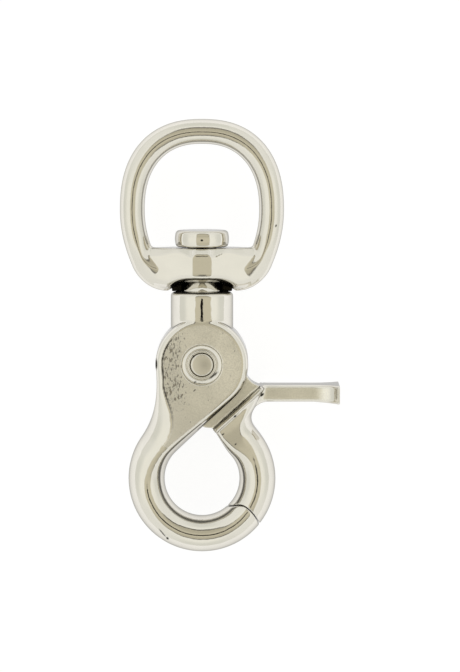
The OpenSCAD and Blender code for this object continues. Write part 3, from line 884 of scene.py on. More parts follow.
@dataclass
class SwivelEye(Assembly):
    """The strap eye: a round ring with a bored crossbar whose front has three facets.

    Attributes:
        root_crest: Crest of the ring at its roots, where it is sharpest.
        root_rise: Height over the crossbar at which the crest starts to change.
        root_run: The height over which it changes.
        fullness: Share of the ring's section that is rounded.
        arch_power: 2 for a round arch, more for a squarer one.
        facet_slope: How fast the side facets fall back.
        bevel_waves: How much that height changes, from where, and over what length, to each side of the middle.
        draft: How fast the front falls back downwards.
        bar_round: Rounding below the facets, in the middle.
        bar_blend: The same at the ends.
        bar_lift: How far the ends lie over the ring's lower line.
        collar_start: Angle at which the half collar starts.
        skin: Size of the facets and number of smoothing passes of its cast skin.
    """

    strap_w: float = 19.0
    strap_h: float = 17.2
    band: float = 4.15
    wire_t: float = 4.2
    waist: float = 6.2
    root_crest: float = 1.8
    root_rise: float = 1.8
    root_run: float = 3.5
    fullness: float = 0.985
    arch_power: float = 2.35
    bar_h: float = 7.25
    bar_t: float = 9.4
    facet_w: float = 3.0
    facet_slope: float = 0.4
    bevel_h: float = 1.45
    bevel_waves: tuple[Point, ...] = ((-0.45, 1.6, -0.4), (-0.75, 1.7, 2.3), (0.6, 4.3, 3.2))
    draft: float = 0.1
    bar_round: float = 1.25
    bar_lift: float = 0.3
    bar_blend: float = 1.6
    bar_arch: float = 1.7
    bar_arch_w: float = 11.4
    gap: float = 0.15
    collar_r: float = 3.4
    collar_start: float = 9.0
    skin: tuple[float, int] = (0.138, 9)

    @property
    def bottom(self) -> float:
        """Height of the crossbar's lowest corners along Y."""
        return self.form.barrel_top + self.gap

    @property
    def top(self) -> float:
        """Height of the crossbar's top along Y."""
        return self.bottom + self.bar_h

    @property
    def arch_radius(self) -> float:
        """Radius of the arch under the crossbar."""
        return ((self.bar_arch_w / 2) ** 2 + self.bar_arch**2) / (2 * self.bar_arch)

    def under(self, x: float) -> float:
        """Height of the arch under the crossbar at a place across."""
        r = self.arch_radius
        return self.bottom + self.bar_arch - r + math.sqrt(r * r - x * x)

    def outline(
        self, w: float, h: float, side: list[Flat], low: list[Flat], under: Callable[[float], float]
    ) -> list[Vector]:
        """One outline of the ring, from its crown down on the right and all the way round.

        Args:
            w: Half its width.
            h: Height of its arch over the waist.
            side: Control points of the curve below the arch.
            low: Control points of the curve that leads to the crossbar.
            under: Height of the line along the crossbar at a place across.

        Returns:
            The points.
        """
        line = []
        for a in spread(90, 0, 64):
            c, s = (abs(v) ** (2 / self.arch_power) for v in turn(a))
            line.append(Vector((w * c, self.top + self.waist + h * s)))
        line += [bezier(side, t) for t in spread(0, 1, 20)[1:]]
        line += [bezier(low, t) for t in spread(0, 1, 24)[1:]]
        line += [Vector((x, under(x))) for x in spread(self.bar_arch_w / 2, 0, 16)[1:-1]]
        return line + [Vector((0.0, under(0)))] + [Vector((-p[0], p[1])) for p in line[:0:-1]]

    def outer(self) -> list[Vector]:
        """The ring's outer outline."""
        w, waist_y, arch_half = self.strap_w / 2 + self.band, self.top + self.waist, self.bar_arch_w / 2
        corner = Vector((w - 2.1, self.bottom + 4.05))
        side = [(w, waist_y), (w, waist_y - 3.9), (corner[0] + 1, corner[1] + 2.4), tuple(corner)]
        low = [side[-1], (corner[0] - 0.7, corner[1] - 1.7)]
        low += [(arch_half + 3.1, self.bottom), (arch_half, self.bottom)]
        return self.outline(w, self.strap_h - self.waist + self.band, side, low, self.under)

    def inner(self) -> list[Vector]:
        """The ring's inner outline."""
        w, top, waist_y = self.strap_w / 2, self.top, self.top + self.waist
        side = [(w, waist_y), (w, waist_y - 2.6), (w - 0.6, top + 1.6), (w - 1.05, top + 0.3)]
        low = [side[-1], (w - 1.25, top), (w - 1.8, top), (self.bar_arch_w / 2, top)]
        return self.outline(w, self.strap_h - self.waist, side, low, lambda x: top)

    def ring(self) -> BMesh:
        """The round ring, which also runs below the crossbar's facets."""
        rings = []
        half = self.wire_t / 2
        for a, b in zip(self.outer(), self.inner()):
            inset, drop = self.fullness * (a - b).length / 2, self.fullness * half
            root = ease((self.top + self.root_rise - (a[1] + b[1]) / 2) / self.root_run)
            crest = mix(self.form.crest, self.root_crest, root)
            rings.append(section(Side(a, half, inset, drop), Side(b, half, inset, drop), self.form.mid, crest))
        return bent_grid(rings, closed=True)

    def bar(self) -> BMesh:
        """The crossbar: facets with a bevel above and a rounding below, which dip under the ring at its ends."""
        reach, arch_half, facet = self.strap_w / 2 + 0.3, self.bar_arch_w / 2, self.facet_w / 2
        mid, rings = self.form.mid, []
        for x in sorted(set(spread(-reach, reach, 72) + [-facet, facet])):
            off = abs(x)
            share = ease(off / arch_half)
            half = self.bar_t / 2 - self.facet_slope * max(0.0, off - facet)
            bevel = self.bevel_h
            for change, start, run in self.bevel_waves:
                bevel += change * ease((off - start) / run)
            rise, depth = mix(self.bar_round, self.bar_blend, share), mix(self.bar_round, half - 0.65, share)
            if off < arch_half:
                low = self.under(x) + self.bar_lift * share + 0.02
            else:
                low = self.bottom + self.bar_lift + 0.09 * (off - arch_half) ** 2 + 0.02
            front = [(self.top, half - 0.8 * bevel), (self.top - bevel, half)]
            for a in spread(0, 90, 12):
                c, s = turn(a)
                front.append((low + rise * (1 - s), half - depth * (1 - c)))
            front = [(y, z - self.draft * (self.top - y)) for y, z in front]
            rings.append([(x, y, mid + z) for y, z in front[::-1]] + [(x, y, mid - z) for y, z in front])
        return bent_grid(rings)

    def collar(self) -> BMesh:
        """The half collar behind the stud's neck, which closes the arch down to the barrel and carries painted shade,
        so that the arch looks dark.
        """
        inner, outer = self.collar_r * MM, (self.form.barrel_r - self.form.run_gap) * MM
        low, high = metres(self.form.barrel_top + 0.03, self.bottom + self.bar_h / 2)
        bm = bmesh.new()
        verts = [bm.verts.new((r, y, 0)) for r, y in ((inner, low), (outer, low), (outer, high), (inner, high))]
        start = math.radians(self.collar_start)
        geom = verts + [bm.edges.new((verts[i - 1], verts[i])) for i in range(4)]
        bmesh.ops.rotate(bm, verts=verts, cent=(0, 0, 0), matrix=Matrix.Rotation(start, 3, "Y"))
        bmesh.ops.spin(bm, geom=geom, cent=(0, 0, 0), axis=(0, 1, 0), angle=math.pi - 2 * start, steps=48)
        bmesh.ops.holes_fill(bm, edges=[e for e in bm.edges if e.is_boundary])
        bmesh.ops.recalc_face_normals(bm, faces=bm.faces)
        bmesh.ops.translate(bm, verts=bm.verts, vec=(0, 0, self.form.mid * MM))
        return bm

    def soot(self, skin: Skin) -> np.ndarray:
        """Where the eye is painted dark: painted shade on the collar, a painted reflection as a thin line round
        inside the ring, a painted reflection as a dark lens under the middle facet, and one small mark.
        """
        # Painted shade on the collar behind the neck, seen through the arch.
        collar = 1 - smooth(skin.y, self.bottom + 1.5, self.bottom + 1.9)
        collar = collar * (1 - smooth(skin.z, skin.mid - 0.3, skin.mid + 0.6))
        collar = collar * (skin.facing[:, 2] > -0.2) * (skin.off_axis < 5.3) * (skin.off_axis > 3.2)
        # Painted reflection: a thin dark line round inside the ring.
        line = 0.6 * skin.inner_reflection_line((0.0, self.top + self.waist), 49, 52) * (skin.y > self.top + 0.6)
        speck = skin.spots((12.3, 22.9, 0.45, 0.25, 70)) * skin.front
        # Painted reflection: the dark lens where the middle facet meets the rounding below it.
        lens = 0.7 * skin.spots((0.08, 14.78, 1.5, 0.3, 0)) * (skin.facing[:, 2] > 0.3)
        return np.maximum.reduce((collar, line, speck, lens))

    def build(self) -> list[Object]:
        """Casts the eye and dresses it."""
        eye = Casting("strap_eye", self.ring())
        eye.join(self.bar(), self.collar())
        bore = rod(self.form.stud_d / 2 + self.form.run_gap, self.bottom - OVER, self.top + OVER, 64)
        eye.cut(along_y(bore, self.form.mid))
        obj = eye.soften(*self.skin)
        paint(obj, self.form.mid, soot=self.soot)
        obj.data.materials.append(self.finish.build())
        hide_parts("swivel_eye")
        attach(obj, "eye")
        return [obj]


@dataclass
class SwivelStud(Assembly):
    """The turned stud: round head in the eye, shank through the crossbar, flared foot on the barrel."""

    eye: SwivelEye
    head_d: float = 9.0
    head_h: float = 2.75
    head_foot: float = 0.2
    head_round: float = 0.7
    head_bulge: float = 0.08
    foot_d: float = 6.2

    def profile(self) -> list[Flat]:
        """Radius and place along the axis of each corner, from the tail to the head's crown."""
        r, head, foot_r = self.form.stud_d / 2, self.head_d / 2, self.foot_d / 2
        barrel, tail = self.form.barrel_top, self.form.barrel_top - self.form.stud_tail
        seat, foot_top = self.eye.top + self.eye.gap, self.eye.under(0) - self.eye.gap
        points = [(0, tail), (r - 0.3, tail), (r, tail + 0.3), (r, barrel), (foot_r - 0.08, barrel + 0.01)]
        points.append((foot_r, barrel + 0.1))
        for t in spread(0, 1, 10):
            points.append((mix(foot_r, r + 0.02, ease(t) * 0.35 + t * 0.65), mix(barrel + 0.3, foot_top, t)))
        points += [(r, foot_top + 0.05), (r, seat - 0.02), (r + 0.05, seat), (head - 0.6, seat)]
        foot, brow, crown = self.head_foot * self.head_h, self.head_round, seat + self.head_h
        corner = (head - foot - self.head_bulge, seat + foot)
        points += [tuple(polar(foot, a, corner)) for a in spread(-90, 0, 10)]
        for t in spread(0, 1, 12)[1:-1]:
            points.append((head - self.head_bulge * (2 * t - 1) ** 2, mix(seat + foot, crown - brow, t)))
        corner = (head - brow - self.head_bulge, crown - brow)
        points += [tuple(polar(brow, a, corner)) for a in spread(0, 90, 12)]
        return points + [(head * 0.5, crown), (0, crown)]

    def build(self) -> list[Object]:
        """Turns the stud and dresses it."""
        obj = to_object("swivel_stud_turned", along_y(turned(self.profile()), self.form.mid))
        obj.data.materials.append(self.finish.build())
        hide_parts("swivel_stud")
        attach(obj, "hook")
        return [obj]


@dataclass
class HookBody(Assembly):
    """The body casting: barrel, two cheeks with a slot between them, spine, loop and nose.

    Attributes:
        spine_units: Stations from the head to the loop.
        loop_units: Stations round the loop.
        loop_start: Angle about the loop's centre at which the spine's left side meets it.
        nose_end: Angle at which the loop ends, past the nose.
        field_rim: Share of the rounded rim that lies outside the satin field.
        skin: Size of the facets and number of smoothing passes of its cast skin.
    """

    seat_r: float = 3.3
    seat_depth: float = 0.62
    spine_units: float = 16.0
    loop_units: float = 32.0
    loop_start: float = 145.0
    nose_end: float = 336.0
    field_rim: float = 0.94
    skin: tuple[float, int] = (0.175, 5)

    def left(self, s: float) -> Vector:
        """The outline on the left of a station."""
        f = self.form
        if s <= self.spine_units:
            foot = polar(f.loop_out, self.loop_start, f.centre)
            spine = [(-f.head_r, 0), (-f.head_r + 0.6, -5.5), (-f.head_r - 0.3, -9.3), tuple(foot)]
            return bezier(spine, s / self.spine_units)
        share = (s - self.spine_units) / self.loop_units
        return polar(f.loop_out, mix(self.loop_start, self.nose_end, share), f.centre)

    def right(self, s: float) -> Vector:
        """The outline on the right of a station."""
        f = self.form
        if s <= self.spine_units:
            arc = math.radians(90 - f.lean) * f.head_r
            line = (f.lean_foot - f.lean_top).length
            run = (arc + line) * s / self.spine_units
            if run < arc:
                return polar(f.head_r, -(90 - f.lean) * run / arc)
            return lerp(f.lean_top, f.lean_foot, (run - arc) / line)
        share = (s - self.spine_units) / self.loop_units
        return polar(f.loop_r, mix(90 + f.lean, self.nose_end, share), f.centre)

    def widths(self, s: float) -> tuple[float, float, float]:
        """The rounding at a station.

        Args:
            s: The station.

        Returns:
            Its width on the left, its width on the right, and how round the section is.
        """
        across = self.left(s) - self.right(s)
        out, span = across.normalized(), across.length
        ahead, behind = min(s + 0.05, self.spine_units + self.loop_units), max(s - 0.05, 0)
        rims = []
        for line in (self.left, self.right):
            d = (line(ahead) - line(behind)).normalized()
            rims.append(min(0.45 * span, self.form.rim_r / max(0.4, abs(Vector((-d[1], d[0])).dot(out)))))
        around = ease((s - 3) / (self.spine_units - 2))
        crest, full = mix(0.68, 0.5, ease((s - self.spine_units) / 9)), self.form.fullness
        wide_left, wide_right = full * crest * span, full * (1 - crest) * span
        return mix(rims[0], wide_left, around), mix(rims[1], wide_right, around**3), around

    def station(self, s: float) -> list[Point]:
        """The section at a station, flat with a rounded rim above and round in the loop."""
        f = self.form
        wide_left, wide_right, around = self.widths(s)
        half = mix(f.body_t / 2, f.loop_t / 2, ease((s - 7) / (self.spine_units + 1)))
        drop = mix(f.rim_r, f.fullness * half, around)
        right, left = Side(self.right(s), half, wide_right, drop), Side(self.left(s), half, wide_left, drop)
        return section(right, left, f.mid, mix(1, f.crest, around))

    def flat_field(self) -> list[Vector]:
        """Outline of the cheeks' flat matt field, which narrows to a point at the spine's foot."""
        left, right = [], []
        for s in spread(0, self.spine_units - 0.4, 60):
            a, b = self.right(s), self.left(s)
            out = (b - a).normalized()
            wide_left, wide_right, _ = self.widths(s)
            left.append(b - out * wide_left * self.field_rim)
            right.append(a + out * wide_right * self.field_rim)
        r = self.form.head_r - self.field_rim * self.form.rim_r
        return right[::-1] + [polar(r, a) for a in spread(0, 180, 60)] + left

    def head(self) -> BMesh:
        """The upper half of the cheeks' round head, with its rounded rim."""
        f = self.form
        rim = Side(Vector((f.head_r, 0)), f.mid, f.rim_r, f.rim_r).rounded(Vector((1, 0)), f.mid, False, 1.0, QUARTER)
        return bent_grid([[(*polar(x, a), z) for a in spread(-4, 184, 110)] for x, _, z in rim])

    def barrel(self) -> BMesh:
        """The barrel, with a softened chamfer at its top."""
        f = self.form
        r, top, chamfer, low = f.barrel_r, f.barrel_top, f.barrel_chamfer, f.head_r / 2
        profile = [(0, low), (r, low), (r, top - chamfer), (r - 0.12, top - 0.2), (r - chamfer, top), (0, top)]
        return along_y(turned(profile), f.mid)

    def slot(self) -> list[BMesh]:
        """The slot between the cheeks: a round end and two straight walls."""
        f = self.form
        low, high = f.mid - f.tongue_t / 2 - f.slot_gap, f.mid + f.tongue_t / 2 + f.slot_gap
        r = f.tongue_r + 3 * f.slot_gap
        reach, rise = 2 * f.head_r, f.tongue_rise + f.gate_swing + 2
        walls = [
            polar(r, rise), polar(r, rise) + polar(reach, rise - 90), polar(1.3 * reach, f.shoulder_dir),
            polar(r, -f.tongue_fall) + polar(reach, 90 - f.tongue_fall), polar(r, -f.tongue_fall),
        ]
        return [rod(r, low, high), prism(walls, low, high)]

    def satin(self, skin: Skin) -> np.ndarray:
        """Where the body is satin: on the cheeks' flat field and inside the slot."""
        f = self.form
        flat = smooth(skin.depth(self.flat_field()), -0.12, 0.1) * smooth(skin.level, 0.75, 0.93)
        in_slot = skin.off_mid < f.tongue_t / 2 + f.slot_gap + 0.1
        near_tongue = np.hypot(skin.x, skin.y) < f.tongue_r + 0.5
        return np.maximum(flat * smooth(skin.off_mid, 3.2, 3.6), in_slot * ((skin.level > 0.8) | near_tongue))

    def soot(self, skin: Skin) -> np.ndarray:
        """Where the body is painted dark: painted shade on the barrel's top under the eye and in a thin line under
        the rim beside the tongue, a dark line along the left edge of the flat field, a painted reflection as a line
        round inside the loop, and small marks.
        """
        f, y = self.form, skin.y
        # Painted shade on the barrel's top, under the eye's crossbar.
        shade_under_eye = 0.85 * (y > f.barrel_top - 0.1) * (skin.facing[:, 1] > 0.8) * (skin.off_axis > 3.3)
        edge = 0.95 * (1 - smooth(np.abs(skin.depth(self.flat_field())), 0.07, 0.17)) * (skin.x < -4.5)
        edge = edge * smooth(y, -13.0, -4.0) * (1 - smooth(y, 3.2, 5.2)) * (skin.facing[:, 2] > 0.6)
        # Painted reflection: a thin dark line round inside the loop.
        loop = 0.8 * skin.inner_reflection_line(f.centre, 50, 54) * (y < f.apex_y + 1)
        # Painted shade: a thin dark line under the rim, beside the tongue.
        tongue = 0.9 * (1 - smooth(skin.level, 0.45, 0.6)) * smooth(skin.level, 0.06, 0.16)
        tongue = tongue * smooth(skin.off_mid, 3.4, 3.8) * (skin.at[:, :2] @ np.array(f.lean_n) > f.head_r - 0.4)
        tongue = tongue * (y > f.apex_y - 0.2) * (1 - smooth(y, -4.0, -2.6))
        nick = skin.spots((-7.6, 0.1, 0.5, 1.9, 0)) * (skin.z > f.body_t - 2.2)
        marks = ((-6.6, -28.25, 1.9, 0.2, -51), (-5.75, -29.2, 0.55, 0.38, -55), (-1.2, -4.2, 0.35, 0.2, 40))
        return np.maximum.reduce((shade_under_eye, edge, loop, tongue, nick, skin.spots(*marks) * skin.front))

    def build(self) -> list[Object]:
        """Casts the body and dresses it."""
        f = self.form
        stations = spread(0, self.spine_units + self.loop_units, 220)
        body = Casting("hook_casting", bent_grid([self.station(s) for s in stations]))
        body.join(self.head(), self.barrel())
        body.cut(*self.slot())
        body.cut(rod(f.pivot_d / 2 + 0.04, -OVER, f.body_t + OVER, 96))
        for low, high in ((-OVER, self.seat_depth), (f.body_t - self.seat_depth, f.body_t + OVER)):
            body.cut(rod(self.seat_r, low, high))
        bore = rod(f.stud_d / 2, f.barrel_top - f.stud_tail - 0.1, f.barrel_top + OVER, 64)
        body.cut(along_y(bore, f.mid))
        gate_side = [Vector(p) for p in ((24, -30), (24, -f.loop_drop + 2), (2, -f.loop_drop + 2))]
        body.cut(prism(f.nose_line(0.0) + gate_side, -OVER, f.body_t + OVER))
        obj = body.soften(*self.skin)
        paint(obj, f.mid, satin=self.satin, soot=self.soot)
        obj.data.materials.append(self.finish.build())
        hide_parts("hook_body")
        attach(obj, "hook")
        return [obj]


@dataclass
class RivetSeat(Assembly):
    """The turned seat round each end of the pivot rivet, cut into the cheek."""

    outer: float = 3.6

    def profile(self) -> list[Flat]:
        """Radius and height off the cheek's face, from the outer lip to the rivet and back below."""
        return [
            (self.outer, -0.55), (self.outer, -0.1), (3.5, -0.07), (3.3, -0.06), (3.22, -0.075), (3.12, -0.11),
            (2.95, -0.2), (2.78, -0.29), (2.68, -0.35), (2.62, -0.42), (2.55, -0.44), (2.48, -0.4), (2.4, -0.31),
            (2.33, -0.25), (2.22, -0.22), (2.12, -0.23), (2.05, -0.3), (2.0, -0.5),
            (self.form.pivot_d / 2 + 0.03, -0.55), (self.outer, -0.55),
        ]

    def soot(self, skin: Skin) -> np.ndarray:
        """Where the front seat is dark: at three nicks."""
        nicks = ((-1.38, 1.45, 0.6, 0.22, -45), (-1.15, -2.9, 0.6, 0.24, 60), (2.0, -1.7, 1.9, 0.3, 40))
        return 0.85 * skin.spots(*nicks) * (skin.z > skin.mid)

    def build(self) -> list[Object]:
        """Turns both seats and dresses them."""
        made = []
        for name, face, side in (("rivet_seat_front", self.form.body_t, 1), ("rivet_seat_back", 0.0, -1)):
            obj = to_object(name, turned([(r, face + side * z) for r, z in self.profile()]))
            paint(obj, self.form.mid, soot=self.soot)
            obj.data.materials.append(self.finish.build())
            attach(obj, "hook")
            made.append(obj)
        return made


@dataclass
class PivotRivet(Assembly):
    """The pivot rivet: a plain pin whose softly domed front end was peened a little askew.

    Attributes:
        sink: How far its ends lie below the cheeks' faces.
        dome: Height of the dome on each end.
        lean: Slope of the front end.
    """

    sink: float = 0.12
    dome: float = 0.085
    lean: float = 0.03

    def build(self) -> list[Object]:
        """Turns the rivet and dresses it."""
        r, top = self.form.pivot_d / 2, self.form.body_t - self.sink
        end = [(r, -0.42), (r - 0.02, -0.3), (r - 0.08, -0.19), (r - 0.17, -0.12), (r - 0.3, -self.dome)]
        end += [(x, -self.dome * (x / (r - 0.3)) ** 2) for x in spread(r - 0.3, 0, 8)[1:]]
        bm = turned([(x, -z) for x, z in end[::-1]] + [(x, top + z) for x, z in end], 96)
        for v in bm.verts:
            if v.co.z > self.form.mid * MM:
                v.co.z += self.lean * v.co.x
        obj = to_object("pivot_pin", bm)
        obj.data.materials.append(self.finish.build())
        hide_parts("pivot_rivet")
        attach(obj, "hook")
        return [obj]


@dataclass
class GateLever(Assembly):
    """The gate casting: tongue in the slot, shoulder with its flange, curved arm and thumb tab.

    Attributes:
        flange_step: How far the arm's root lies below the flange.
        facet_sink: How far the root's inner edge lies below its outer one.
        fairing: Number of passes that fair the arm's sections into each other.
        arm_tip: Angle about the loop's centre at which the arm ends, past the nose.
        end_drop: How far the tab's lower edge falls towards its end.
        buttress: How much thicker the tab's stem is at its root.
        skin: Size of the facets and number of smoothing passes of its cast skin.
    """

    flange_step: float = 0.3
    flange_rim: float = 0.8
    facet_sink: float = 0.35
    fairing: int = 20
    arm_tip: float = -50.0
    tab_reach: float = 22.9
    tab_top: float = 3.55
    tab_h: float = 2.85
    tab_rim: float = 0.7
    end_drop: float = 0.3
    stem_t: float = 5.4
    end_t: float = 9.4
    fillet_r: float = 2.7
    buttress: float = 1.2
    flare: float = 4.4
    pocket_r: float = 3.35
    pocket_floor: float = 4.2
    skin: tuple[float, int] = (0.132, 4)

    @property
    def tab_low(self) -> float:
        """Height of the tab's lower edge along Y."""
        return -self.tab_top - self.tab_h

    @property
    def fillet(self) -> Vector:
        """Centre of the fillet under the tab, which also touches the loop's outer circle."""
        y = self.tab_low - self.fillet_r
        return Vector((math.sqrt((self.form.loop_out + self.fillet_r) ** 2 - (y + self.form.loop_drop) ** 2), y))

    @property
    def fillet_end(self) -> float:
        """Angle about the loop's centre where the fillet ends."""
        return math.degrees(math.atan2(self.fillet[1] + self.form.loop_drop, self.fillet[0]))

    @property
    def fillet_root(self) -> Vector:
        """Point of the fillet that lies square to the shoulder."""
        return self.fillet - self.form.shoulder_n * self.fillet_r

    def stations(self, root_out: Vector, root_in: Vector) -> list[tuple[Vector, Vector, float, float]]:
        """The stations of the arm, from its root to its tip.

        Args:
            root_out: The root's outer point.
            root_in: The root's inner point.

        Returns:
            The outer and the inner point of each, and how far along the root and how far past it they lie.
        """
        f, n = self.form, self.form.shoulder_n
        foot = Vector((-f.lean_foot[0], f.lean_foot[1]))
        span = (foot - root_in).dot(n)
        outer = [lerp(root_out, self.fillet_root, t) for t in spread(0, 1, 8)[1:-1]]
        turns = spread(180 + f.shoulder_dir, 180 + self.fillet_end, 26)
        outer += [polar(self.fillet_r, a, self.fillet) for a in turns]
        found = [(root_out, root_in, 0.0, 0.0)]
        for p in outer:
            share = min(1.0, (p - root_in).dot(n) / span)
            found.append((p, lerp(root_in, foot, share), max(0.0, (p - root_out).dot(n) / span), 0.0))
        for t in spread(0, 1, 70)[1:]:
            a = polar(f.loop_out, mix(self.fillet_end, self.arm_tip, t), f.centre)
            b = polar(f.loop_r, mix(90 - f.lean, self.arm_tip, t), f.centre)
            found.append((a, b, 1.0, min(1, t * 3)))
        return found

    def arm(self) -> BMesh:
        """The flange, the roofed root and the round arm down to its tip."""
        f, flange = self.form, self.form.shoulder_t / 2
        rings = []
        for depth, half in ((0, flange - f.shoulder_chamfer), (f.shoulder_chamfer, flange)):
            line = f.shoulder_n * depth
            rings.append(plain_section(f.shoulder_out + line, f.shoulder_in + line, half, self.flange_rim, f.mid))
        line = f.shoulder_n * (f.shoulder_chamfer + 0.12)
        for a, b, along, later in self.stations(f.shoulder_out + line, f.shoulder_in + line):
            band = (a - b).length
            half = mix(flange - self.flange_step, f.loop_t / 2, ease(mix(0.7 * along, 1, later)))
            share = ease((along + later) / 2)
            wide_out, wide_in = mix(0.42, 0.485, share) * band, mix(0.9, 0.485 * band, share**1.3)
            drop_out, drop_in = mix(0.55, f.fullness, share) * half, mix(1.0, f.fullness * half, share**1.3)
            inner = Side(b, half - self.facet_sink * (1 - share), wide_in, drop_in)
            rings.append(section(Side(a, half, wide_out, drop_out), inner, f.mid, mix(1, f.crest, share)))
        grid = np.array(rings)
        for _ in range(self.fairing):
            grid[3:-1] = (grid[2:-2] + 2 * grid[3:-1] + grid[4:]) / 4
        return bent_grid(grid.tolist())

    def tab(self) -> BMesh:
        """The thumb tab: it grows out of the root along the fillet and flares like a paddle."""
        f, top, thick = self.form, -self.tab_top, self.stem_t + self.buttress
        stations = [(f.shoulder_out + Vector((0.07, -0.12)), self.fillet_root - Vector((0.9, 0.5)), thick)]
        for t in spread(0.2, 1, 16):
            x = mix(f.shoulder_out[0] + 0.2, self.fillet[0], t)
            low = polar(self.fillet_r, mix(126, 90, (t - 0.2) / 0.8), self.fillet)
            stations.append((Vector((x, top)), low, self.stem_t + self.buttress * (1 - t) ** 2))
        start = self.tab_reach - self.flare
        for t in spread(0, 1, 12)[1:]:
            x = mix(self.fillet[0], start, t)
            stations.append((Vector((x, top)), Vector((x, self.tab_low)), self.stem_t))
        for t in spread(0, 0.92, 24)[1:] + [1.0]:
            x = start + t * self.flare
            depth = min(self.end_t, mix(self.stem_t, self.end_t, (1 - math.sqrt(1 - t * t)) / 0.61))
            stations.append((Vector((x, top)), Vector((x, self.tab_low - self.end_drop * t)), depth))
        return bent_grid([plain_section(a, b, depth / 2, self.tab_rim, f.mid, 10) for a, b, depth in stations])

    def tongue(self) -> list[BMesh]:
        """The tongue: a round end about the pivot and the web that reaches into the shoulder."""
        f, n, t = self.form, self.form.shoulder_n, self.form.shoulder_t_dir
        low, high = f.mid - f.tongue_t / 2, f.mid + f.tongue_t / 2
        start, end = polar(f.head_r, -14), f.shoulder_out + n * 0.15 - t * 0.08
        curve = [tuple(start), (start[0] + 0.25, start[1] - 1), (end[0] - 1, end[1] + 0.1), tuple(end)]
        web = [polar(f.tongue_r, f.tongue_rise)] + [bezier(curve, s) for s in spread(0, 1, 20)]
        web += [f.shoulder_out + n * 1.2 - t * 0.5, f.shoulder_in + n * 1.2 + t * 0.5]
        web += [f.shoulder_in + n * 0.2 + t * 0.35]
        web += [Vector((0.25, f.apex_y + 0.05)), polar(f.tongue_r, -f.tongue_fall)]
        return [rod(f.tongue_r, low, high), prism(web, low, high)]

    def satin(self, skin: Skin) -> np.ndarray:
        """Where the gate is satin: on the tongue's faces and on the tab's."""
        tongue = 0.55 * (1 - smooth(np.abs(skin.off_mid - self.form.tongue_t / 2), 0.05, 0.2))
        tab = 1 - smooth(np.abs(skin.off_mid - self.stem_t / 2), 0.3, 1.0)
        return smooth(skin.level, 0.8, 0.95) * np.maximum(tongue, 0.6 * smooth(skin.x, 9.6, 10.6) * tab)

    def soot(self, skin: Skin) -> np.ndarray:
        """Where the gate is painted dark: a painted reflection as a thin line round inside the loop, and small marks.
        """
        # Painted reflection: a thin dark line round inside the loop.
        line = 0.8 * skin.inner_reflection_line(self.form.centre, 50, 54) * (skin.y < self.form.shoulder_in[1] - 0.6)
        marks = ((10.0, -5.15, 0.75, 0.4, 40), (5.5, -8.55, 0.5, 0.35, 40), (3.5, -11.6, 0.5, 0.25, 40))
        return np.maximum(line, skin.spots(*marks, (5.6, -13.3, 0.4, 0.25, 60)) * skin.front)

    def build(self) -> list[Object]:
        """Casts the gate and dresses it."""
        f = self.form
        gate = Casting("gate_casting", self.arm())
        gate.join(self.tab(), *self.tongue())
        gate.cut(rod(f.pivot_d / 2 + f.run_gap, -OVER, f.body_t + OVER, 96))
        gate.cut(rod(self.pocket_r, self.pocket_floor, f.body_t, 96))
        hook_side = [Vector(p) for p in ((10, -40), (-20, -40), (-20, -22))]
        gate.cut(prism(f.nose_line(f.nose_gap) + hook_side, -OVER, f.body_t + OVER))
        obj = gate.soften(*self.skin)
        paint(obj, f.mid, satin=self.satin, soot=self.soot)
        obj.data.materials.append(self.finish.build())
        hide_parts("gate_lever")
        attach(obj, "gate")
        return [obj]


@dataclass
class GateSpring(Assembly):
    """The torsion spring round the rivet, hidden in the tongue's pocket.

    Attributes:
        in_at: Angle at which the leg in the body leaves the coil.
        out_at: Angle at which the leg in the tongue leaves it.
    """

    wire_d: float = 0.8
    coil_r: float = 2.75
    pitch: float = 0.9
    leg_in: float = 6.2
    leg_out: float = 8.2
    in_at: float = 220.0
    out_at: float = 305.0

    def path(self) -> list[Vector]:
        """The wire's middle line, from one leg's end to the other's."""
        turns = 2 + (self.in_at - self.out_at + 360) / 360
        rise = self.pitch * turns
        low = self.form.mid + self.form.tongue_t / 2 - 0.25 - self.wire_d / 2 - rise
        start = polar(self.coil_r, self.in_at) + polar(self.leg_in, self.in_at + 90)
        end = polar(self.coil_r, self.out_at) + polar(self.leg_out, self.out_at - 90)
        coil = [(*polar(self.coil_r, self.in_at - 360 * turns * t), low + rise * t) for t in spread(0, 1, 130)]
        return [Vector(p) for p in ((*start, low), *coil, (*end, low + rise))]

    def build(self) -> list[Object]:
        """Winds the spring and dresses it."""
        path, rings = self.path(), []
        for i, p in enumerate(path):
            t = (path[min(i + 1, len(path) - 1)] - path[max(i - 1, 0)]).normalized()
            side = t.cross(Vector((0, 0, 1))).normalized()
            up = side.cross(t).normalized()
            ways = [turn(a) for a in spread(0, 360, 16)[:-1]]
            rings.append([tuple(p + (side * c + up * s) * (self.wire_d / 2)) for c, s in ways])
        obj = to_object("wound_spring", bent_grid(rings))
        obj.data.materials.append(self.finish.build())
        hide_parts("gate_spring")
        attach(obj, "hook")
        return [obj]


# The studio.


